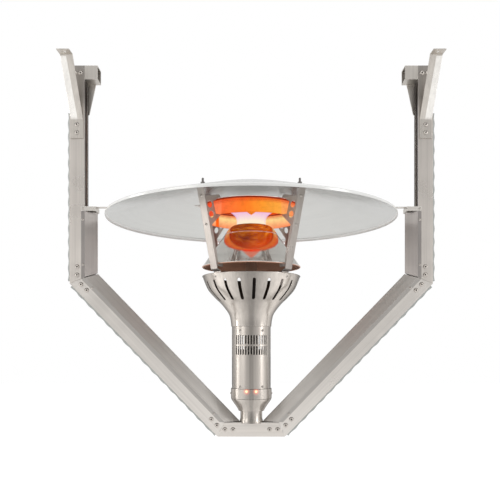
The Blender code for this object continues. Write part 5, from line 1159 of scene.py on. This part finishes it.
flame_core = flame_finish("flame core", (1.0, 0.90, 0.56), (1.0, 0.56, 0.58), 0.85, 0.60)
flame_skin = flame_finish("flame skin", (1.0, 0.84, 0.72), (0.78, 0.56, 0.92), 0.35, 0.25)
for name, inset, finish in (("flame_core", CORE_INSET, flame_core), ("flame_skin", 0.0, flame_skin)):
    path = soft_path([(radius - inset, height) for radius, height in FLAME_PATH], 5)
    flame = show(name, turned(walled(path, SKIN_WALL), 96), finish)
    flame.visible_glossy = False

# %% [markdown]
# ## Screws
# Every sheet is held by button-head screws: a low dome with a round recess. The recess is painted dark as
# shade, and a dark line of painted shadow runs along the upper side of each head. The heads are turned about
# their own axis, and each one covers the plain head that the measured model has at that place.

# %% A button-head screw
HEAD_SIDES = 24
DOME = ((0.46, 1.45), (0.70, 1.36), (0.90, 1.10), (1.02, 0.70), (1.05, 0.08))
RECESS = ((0.46, 1.45), (0.40, 1.05))
SHADOW_LINE = ((1.02, 0.14), (1.30, 0.10))
SHADOW_FROM = 0.10


def button_head(mesh, place, axis, radius, height):
    """Adds one head. Its recess and the upper part of the line round it get the second material."""
    axis = Vector(axis).normalized()
    turn = axis.to_track_quat("Z", "Y").to_matrix()
    origin = Vector(place)

    def row_at(share_out, share_up):
        return [mesh.verts.new(origin + turn @ Vector((
            radius * share_out * math.cos(2 * math.pi * index / HEAD_SIDES),
            radius * share_out * math.sin(2 * math.pi * index / HEAD_SIDES), height * share_up)))
            for index in range(HEAD_SIDES)]

    dome_rows = [row_at(*share) for share in DOME]
    for upper, lower in zip(dome_rows, dome_rows[1:]):
        band_between(mesh, upper, lower)
    recess_rows = [row_at(*share) for share in RECESS]
    shadow_rows = [row_at(*share) for share in SHADOW_LINE]
    # The recess and the upper part of the line round the head take the dark steel: painted shade and shadow.
    for face in band_between(mesh, *recess_rows):
        face.material_index = 1
    for vertex, face in zip(shadow_rows[0], band_between(mesh, *shadow_rows)):
        face.material_index = 1 if vertex.co.z - origin.z > SHADOW_FROM * radius else 0
    mesh.faces.new(recess_rows[1]).material_index = 1


def screw_set(name, places, radius, height):
    """One piece of many equal heads, at places of (position, direction)."""
    mesh = bmesh.new()
    for place, axis in places:
        button_head(mesh, place, axis, radius, height)
    made = show(name, mesh, finishes["screw steel"], smooth=50.0, outward=False)
    made.data.materials.append(finishes["screw shade"])
    print(name, len(places), "screws")


print("one head has", HEAD_SIDES, "sides")

# %% Screws of the frame and its covers
FRAME_FACE = 0.0217
LAP_FACE = 0.0232
BRACKET_FACE = 0.0235
STRAP_FACE = 0.0250
ARM_SCREWS = ((0.5043, 0.46837), (0.5043, 0.49187), (0.5098, 1.0535), (0.4943, 1.0535))
DIAGONAL_SCREWS = ((0.49319, 0.44086), (0.47686, 0.42395), (0.11592, 0.05012), (0.0996, 0.03321))
TRAY_SCREWS = ((0.07643, 0.02065), (0.05293, 0.02065))
STRAP_SCREWS = ((0.5043, 0.87955), (0.5043, 0.90275))
LIP_SCREWS = ((0.4875, 0.49837), (0.4875, 0.6284), (0.46026, 0.43094), (0.10835, 0.06646))
CAP_SCREWS = ((0.4875, 0.6603),)
FRAME_HEAD = (0.0052, 0.0028)
LIP_HEAD = (0.0028, 0.0014)


def four_ways(places, face, rows=(-1, 1)):
    """Places on both sides of the frame, on its front face, its back face or both."""
    return [((side * across, row * face, up), (0.0, row, 0.0))
            for side in (-1, 1) for row in rows for across, up in places]


screw_set("frame_screws", [*four_ways((*ARM_SCREWS, *DIAGONAL_SCREWS, *TRAY_SCREWS), FRAME_FACE),
                           *four_ways(STRAP_SCREWS, STRAP_FACE, (-1,))], *FRAME_HEAD)
screw_set("cover_lip_screws", [*four_ways(LIP_SCREWS, LAP_FACE), *four_ways(CAP_SCREWS, BRACKET_FACE)],
          *LIP_HEAD)

# %% Screws of the head
COVER_HEAD = (0.0030, 0.0016)
LEG_HEAD = (0.0032, 0.0018)
COVER_SCREW_ANGLE = 34.0
COVER_SCREW_HEIGHTS = (0.1458, 0.3065)
LEG_CORNERS = ((-1, -1), (1, -1), (-1, 1), (1, 1))
BOWL_SCREW_PLACE = (0.09764, 0.4562)
LEG_SCREW_PLACES = ((0.13562, 0.6720), (0.12298, 0.5960))
LEG_SCREW_LOOK = (0.6883, -0.229)
COLLAR_SCREW_PLACE = (0.0597, 0.12475)
cover_places = [((side * COLLAR_SCREW_PLACE[0], 0.0, COLLAR_SCREW_PLACE[1]), (side, 0.0, 0.0))
                for side in (-1.0, 1.0)]
for side in (-1, 1):
    angle = math.radians(side * COVER_SCREW_ANGLE)
    look = Vector((math.sin(angle), -math.cos(angle), 0.0))
    for height in COVER_SCREW_HEIGHTS:
        cover_places.append((look * HOUSING_OUT + Vector((0.0, 0.0, height)), look))
screw_set("cover_screws", cover_places, *COVER_HEAD)
leg_places = []
for x, y in LEG_CORNERS:
    across, up = BOWL_SCREW_PLACE
    leg_places.append(((x * across, y * across, up), (x, y, 0.0)))
    for across, up in LEG_SCREW_PLACES:
        leg_places.append(((x * across, y * across, up), (x * LEG_SCREW_LOOK[0], y * LEG_SCREW_LOOK[0],
                                                          LEG_SCREW_LOOK[1])))
screw_set("leg_screws", leg_places, *LEG_HEAD)

# %% [markdown]
# ## The control board
# Behind the service cover a small circuit board times the igniter. It is hardly seen through the slots,
# but it is seen with the cover off: green lacquer over copper tracks, with paler solder pads.

# %% Finish of the control board
TRACK_SCALE = 130.0
PAD_CELLS = 420.0
board_finish, tree, shader = fresh_finish("lacquered board", {"Roughness": 0.32})
place = place_on(tree)
tracks = node(tree, "ShaderNodeTexBrick")
tracks.inputs["Scale"].default_value = TRACK_SCALE
tracks.inputs["Mortar Size"].default_value = 0.08
tracks.inputs["Color1"].default_value = (0.02, 0.13, 0.05, 1.0)
tracks.inputs["Color2"].default_value = (0.03, 0.17, 0.06, 1.0)
tracks.inputs["Mortar"].default_value = (0.10, 0.30, 0.10, 1.0)
lay = node(tree, "ShaderNodeMapping")
lay.inputs["Rotation"].default_value = (math.radians(90.0), 0.0, 0.0)
tree.links.new(place, lay.inputs["Vector"])
tree.links.new(lay.outputs["Vector"], tracks.inputs["Vector"])
pads = span(tree, noise(tree, place, PAD_CELLS, 1.0), 0.66, 0.70)
tree.links.new(blended(tree, pads, tracks.outputs["Color"], (0.62, 0.60, 0.55)), shader.inputs["Base Color"])
tree.links.new(times(tree, pads, 0.8), shader.inputs["Metallic"])
raised = node(tree, "ShaderNodeBump")
raised.inputs["Distance"].default_value = 0.0001
tree.links.new(tracks.outputs["Fac"], raised.inputs["Height"])
tree.links.new(raised.outputs["Normal"], shader.inputs["Normal"])
give_finish(board_finish, "control_board")

# %% [markdown]
# ## The frame's edging, channels and straps
# Three details of the frame are colour and trim more than form. A soft wavy edging runs down the outer side
# of each strut. It is rolled strip, so it is one long band whose outer edge swings in and out. The arms'
# inner side above the covers is a channel painted near black as the shade inside it, the arms' upper ends
# are painted darker as the straps' shadow, and the arms grow darker towards the top. The ceiling straps are
# painted lighter on the outer part of their leaning length and darker elsewhere, as painted light and shade.

# %% Roll the wavy edging
EDGING_STAND = 0.0058
EDGING_SWING = 0.0011
EDGING_PITCH = 0.038
EDGING_STEPS = 8
EDGING_INSET = 0.0050
EDGING_LIP = 0.0012
EDGING_TAPER = 0.8


def wavy_edging(name, node_name, along, outward):
    """A long band with a waved outer edge, as long and as deep as the node that it stands for."""
    corners = [vertex.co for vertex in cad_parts[node_name].data.vertices]
    starts = [corner.dot(along) for corner in corners]
    root = min(corner.dot(outward) for corner in corners)
    near = min(corner.y for corner in corners)
    far = max(corner.y for corner in corners)
    first = min(starts) + EDGING_INSET
    length = max(starts) - EDGING_INSET - first
    count = max(2, round(length / EDGING_PITCH * EDGING_STEPS))
    mesh = bmesh.new()
    rings = []
    for index in range(count + 1):
        run = length * index / count
        swing = math.cos(2 * math.pi * run / EDGING_PITCH)
        edge = root + EDGING_STAND + EDGING_SWING * swing
        middle = along * (first + run)
        profile = ((root, near), (edge - EDGING_LIP, near), (edge, near * EDGING_TAPER),
                   (edge, far * EDGING_TAPER), (edge - EDGING_LIP, far), (root, far))
        rings.append([mesh.verts.new(middle + outward * reach + Vector((0.0, depth, 0.0)))
                      for reach, depth in profile])
    for here, there in zip(rings, rings[1:]):
        band_between(mesh, here, there)
    cap_ends(mesh, rings[0], rings[-1])
    show(name, mesh, finishes["strip alloy"], stands_for=(node_name,))


SLANT_ALONG = Vector((0.6946, 0.0, -0.7194))
UPRIGHT = Vector((0.0, 0.0, 1.0))
for label, side in (("left", -1.0), ("right", 1.0)):
    wavy_edging("arm_edging_" + label, "arm_strip_" + label, UPRIGHT, Vector((side, 0.0, 0.0)))
    downhill = Vector((-side * SLANT_ALONG.x, 0.0, SLANT_ALONG.z))
    outer_side = Vector((side * -SLANT_ALONG.z, 0.0, -SLANT_ALONG.x))
    wavy_edging("diagonal_edging_" + label, "diagonal_strip_" + label, downhill, outer_side)

# %% Finish of the arms, with painted shade in their channels and under the straps
CHANNEL_FACE = 0.4850
CHANNEL_LOW = 0.6640
CHANNEL_HIGH = 1.0290
CHANNEL_EDGE = 0.0005
SQUARE_ON = (0.7, 0.9)
CHANNEL_SHADE_COLOUR = (0.024, 0.016, 0.012)
STRAP_SHADOW_SPAN = (0.9500, 0.9850)
STRAP_SHADOW_TONE = 0.58
RISE_SPAN = (0.60, 0.90)
RISE_TONES = (1.06, 0.88)


def spot_on_frame(tree):
    """How far a place lies from the frame's middle, and its height."""
    place = parts_of(tree, place_on(tree))
    return math_node(tree, "ABSOLUTE", place["X"]), place["Z"]


tree = finishes["arm steel"].node_tree
shader = tree.nodes["Principled BSDF"]
across, up = spot_on_frame(tree)
channel_shade = times(tree, span(tree, across, CHANNEL_FACE, CHANNEL_FACE + CHANNEL_EDGE, 1.0, 0.0),
                span(tree, math_node(tree, "ABSOLUTE", face_way(tree)["X"]), *SQUARE_ON),
                span(tree, up, CHANNEL_LOW, CHANNEL_LOW + CHANNEL_EDGE),
                span(tree, up, CHANNEL_HIGH, CHANNEL_HIGH + CHANNEL_EDGE, 1.0, 0.0))
# Painted shadow darkens the arms' upper ends under the straps, the arms grow darker towards the top, and the
# channel is painted near black as shade.
shadow_and_rise = times(tree, span(tree, up, *STRAP_SHADOW_SPAN, 1.0, STRAP_SHADOW_TONE), span(tree, up, *RISE_SPAN, *RISE_TONES))
painted_over(tree, 1.0, shadow_and_rise, "MULTIPLY")
painted_over(tree, channel_shade, CHANNEL_SHADE_COLOUR)
tree.links.new(span(tree, channel_shade, 0.0, 1.0, 0.80, 0.0), shader.inputs["Metallic"])
shader.inputs["Specular IOR Level"].default_value = 0.08
print("arm steel", len(tree.nodes), "nodes")

# %% Finish of the ceiling straps
STRAP_LINE_FOOT = (0.5024, 0.9217)
STRAP_LINE_LEAN = 0.1120
STRAP_BEND = 0.9150
STRAP_TAB = 1.0760
STRAP_SHADED_TONE = (0.86, 0.84, 0.82)
STRAP_LIT_TONE = (1.32, 1.34, 1.36)
tree = finishes["strap steel"].node_tree
across, up = spot_on_frame(tree)
above_foot = math_node(tree, "SUBTRACT", up, STRAP_LINE_FOOT[1])
line = math_node(tree, "ADD", times(tree, above_foot, STRAP_LINE_LEAN), STRAP_LINE_FOOT[0])
outer_part = span(tree, math_node(tree, "SUBTRACT", across, line), -0.0006, 0.0006)
leaning = times(tree, span(tree, up, STRAP_BEND, STRAP_BEND + 0.010),
                span(tree, up, STRAP_TAB, STRAP_TAB + 0.002, 1.0, 0.0))
# Painted light and shade: the outer part of the strap's leaning length is painted lighter, the rest darker.
lit_and_shaded_tones = blended(tree, times(tree, leaning, outer_part), STRAP_SHADED_TONE, STRAP_LIT_TONE)
painted_over(tree, 1.0, lit_and_shaded_tones, "MULTIPLY")
print("strap steel", len(tree.nodes), "nodes")

# %% [markdown]
# ## A darker stem and painted shade
# Two places are darker. The burner's stem is darker low down, below the cone, and the upper face of the tray
# is painted dark as shade where the slanted covers meet over it. Both are a dark colour laid over the steel,
# on the stem by height, and on the tray by the distance from the middle.

# %% The burner's stem, darker low down
STEM_DARK_SPAN = (0.4680, 0.4780)
tree = finishes["hot steel"].node_tree
darker_low = span(tree, spot_on_frame(tree)[1], *STEM_DARK_SPAN, 1.0, 0.0)
painted_over(tree, darker_low, (0.020, 0.015, 0.012))
print("hot steel", len(tree.nodes), "nodes")

# %% Painted shade on the tray under the slanted covers
SHADE_OUTER = 0.0860
SHADE_FADE = 0.012
tree = finishes["tray steel"].node_tree
shaded = times(tree, span(tree, face_way(tree)["Z"], *SQUARE_ON),
               span(tree, spot_on_frame(tree)[0], SHADE_OUTER, SHADE_OUTER + SHADE_FADE, 1.0, 0.0))
painted_over(tree, shaded, (0.045, 0.03, 0.027))
print("tray steel", len(tree.nodes), "nodes")

# %% [markdown]
# ## The screen in the mixer
# A sleeve of fine dark gauze stands inside the mixer's tube behind its air windows, as painted shade, so
# that nothing is seen straight through them.

# %% Roll the gauze sleeve
SLEEVE_RADIUS = 0.0120
SLEEVE_WALL = 0.0003
SLEEVE_PATH = [(SLEEVE_RADIUS, 0.2600), (SLEEVE_RADIUS, 0.3300)]
show("mixer_gauze", turned(walled(SLEEVE_PATH, SLEEVE_WALL), 48), finishes["near black steel"])

# %% [markdown]
# ## The pieces taken from the measured model
# Struts, covers, straps, legs and the gas parts already have the right shape, so they stay as they are and
# only take a finish.

# %% Give the measured pieces their finishes
PLAIN = {
    "arm steel": ("arm_strut_left", "arm_strut_right"),
    "stub steel": ("top_stub_left", "top_stub_right"),
    "gusset steel": ("elbow_joint_plate_left", "elbow_joint_plate_right"),
    "left diagonal steel": ("diagonal_strut_left",),
    "right diagonal steel": ("diagonal_strut_right",),
    "tray steel": ("bottom_tray", "tray_mounting_plate"),
    "shaded arm cover": ("arm_raceway_left", "arm_raceway_right"),
    "bracket steel": ("reflector_bracket_left", "reflector_bracket_right", "reflector_tie_left",
                      "reflector_tie_right"),
    "left slanted cover": ("diagonal_raceway_left",),
    "right slanted cover": ("diagonal_raceway_right",),
    "strap steel": ("ceiling_strap_left", "ceiling_strap_right"),
    "leg steel": ("leg_front_left", "leg_front_right", "leg_rear_left", "leg_rear_right"),
    "hot steel": ("burner_head", "mixer_tube", "air_shutter", "mixer_support_spider", "igniter_electrode",
                  "flame_sensor"),
    "stud steel": ("reflector_stud_front_left", "reflector_stud_front_right", "reflector_stud_rear_left",
                   "reflector_stud_rear_right"),
    "screw steel": ("clamp_screw", "wing_nut", "valve_plunger"),
    "service steel": ("chassis_plate", "wiring_conduit"),
    "yellow brass": ("gas_valve", "gas_injector"),
    "supply copper": ("gas_supply_pipe",),
}
for finish_name, node_names in PLAIN.items():
    give_finish(finishes[finish_name], *node_names)
print(sum(len(names) for names in PLAIN.values()), "measured pieces finished")
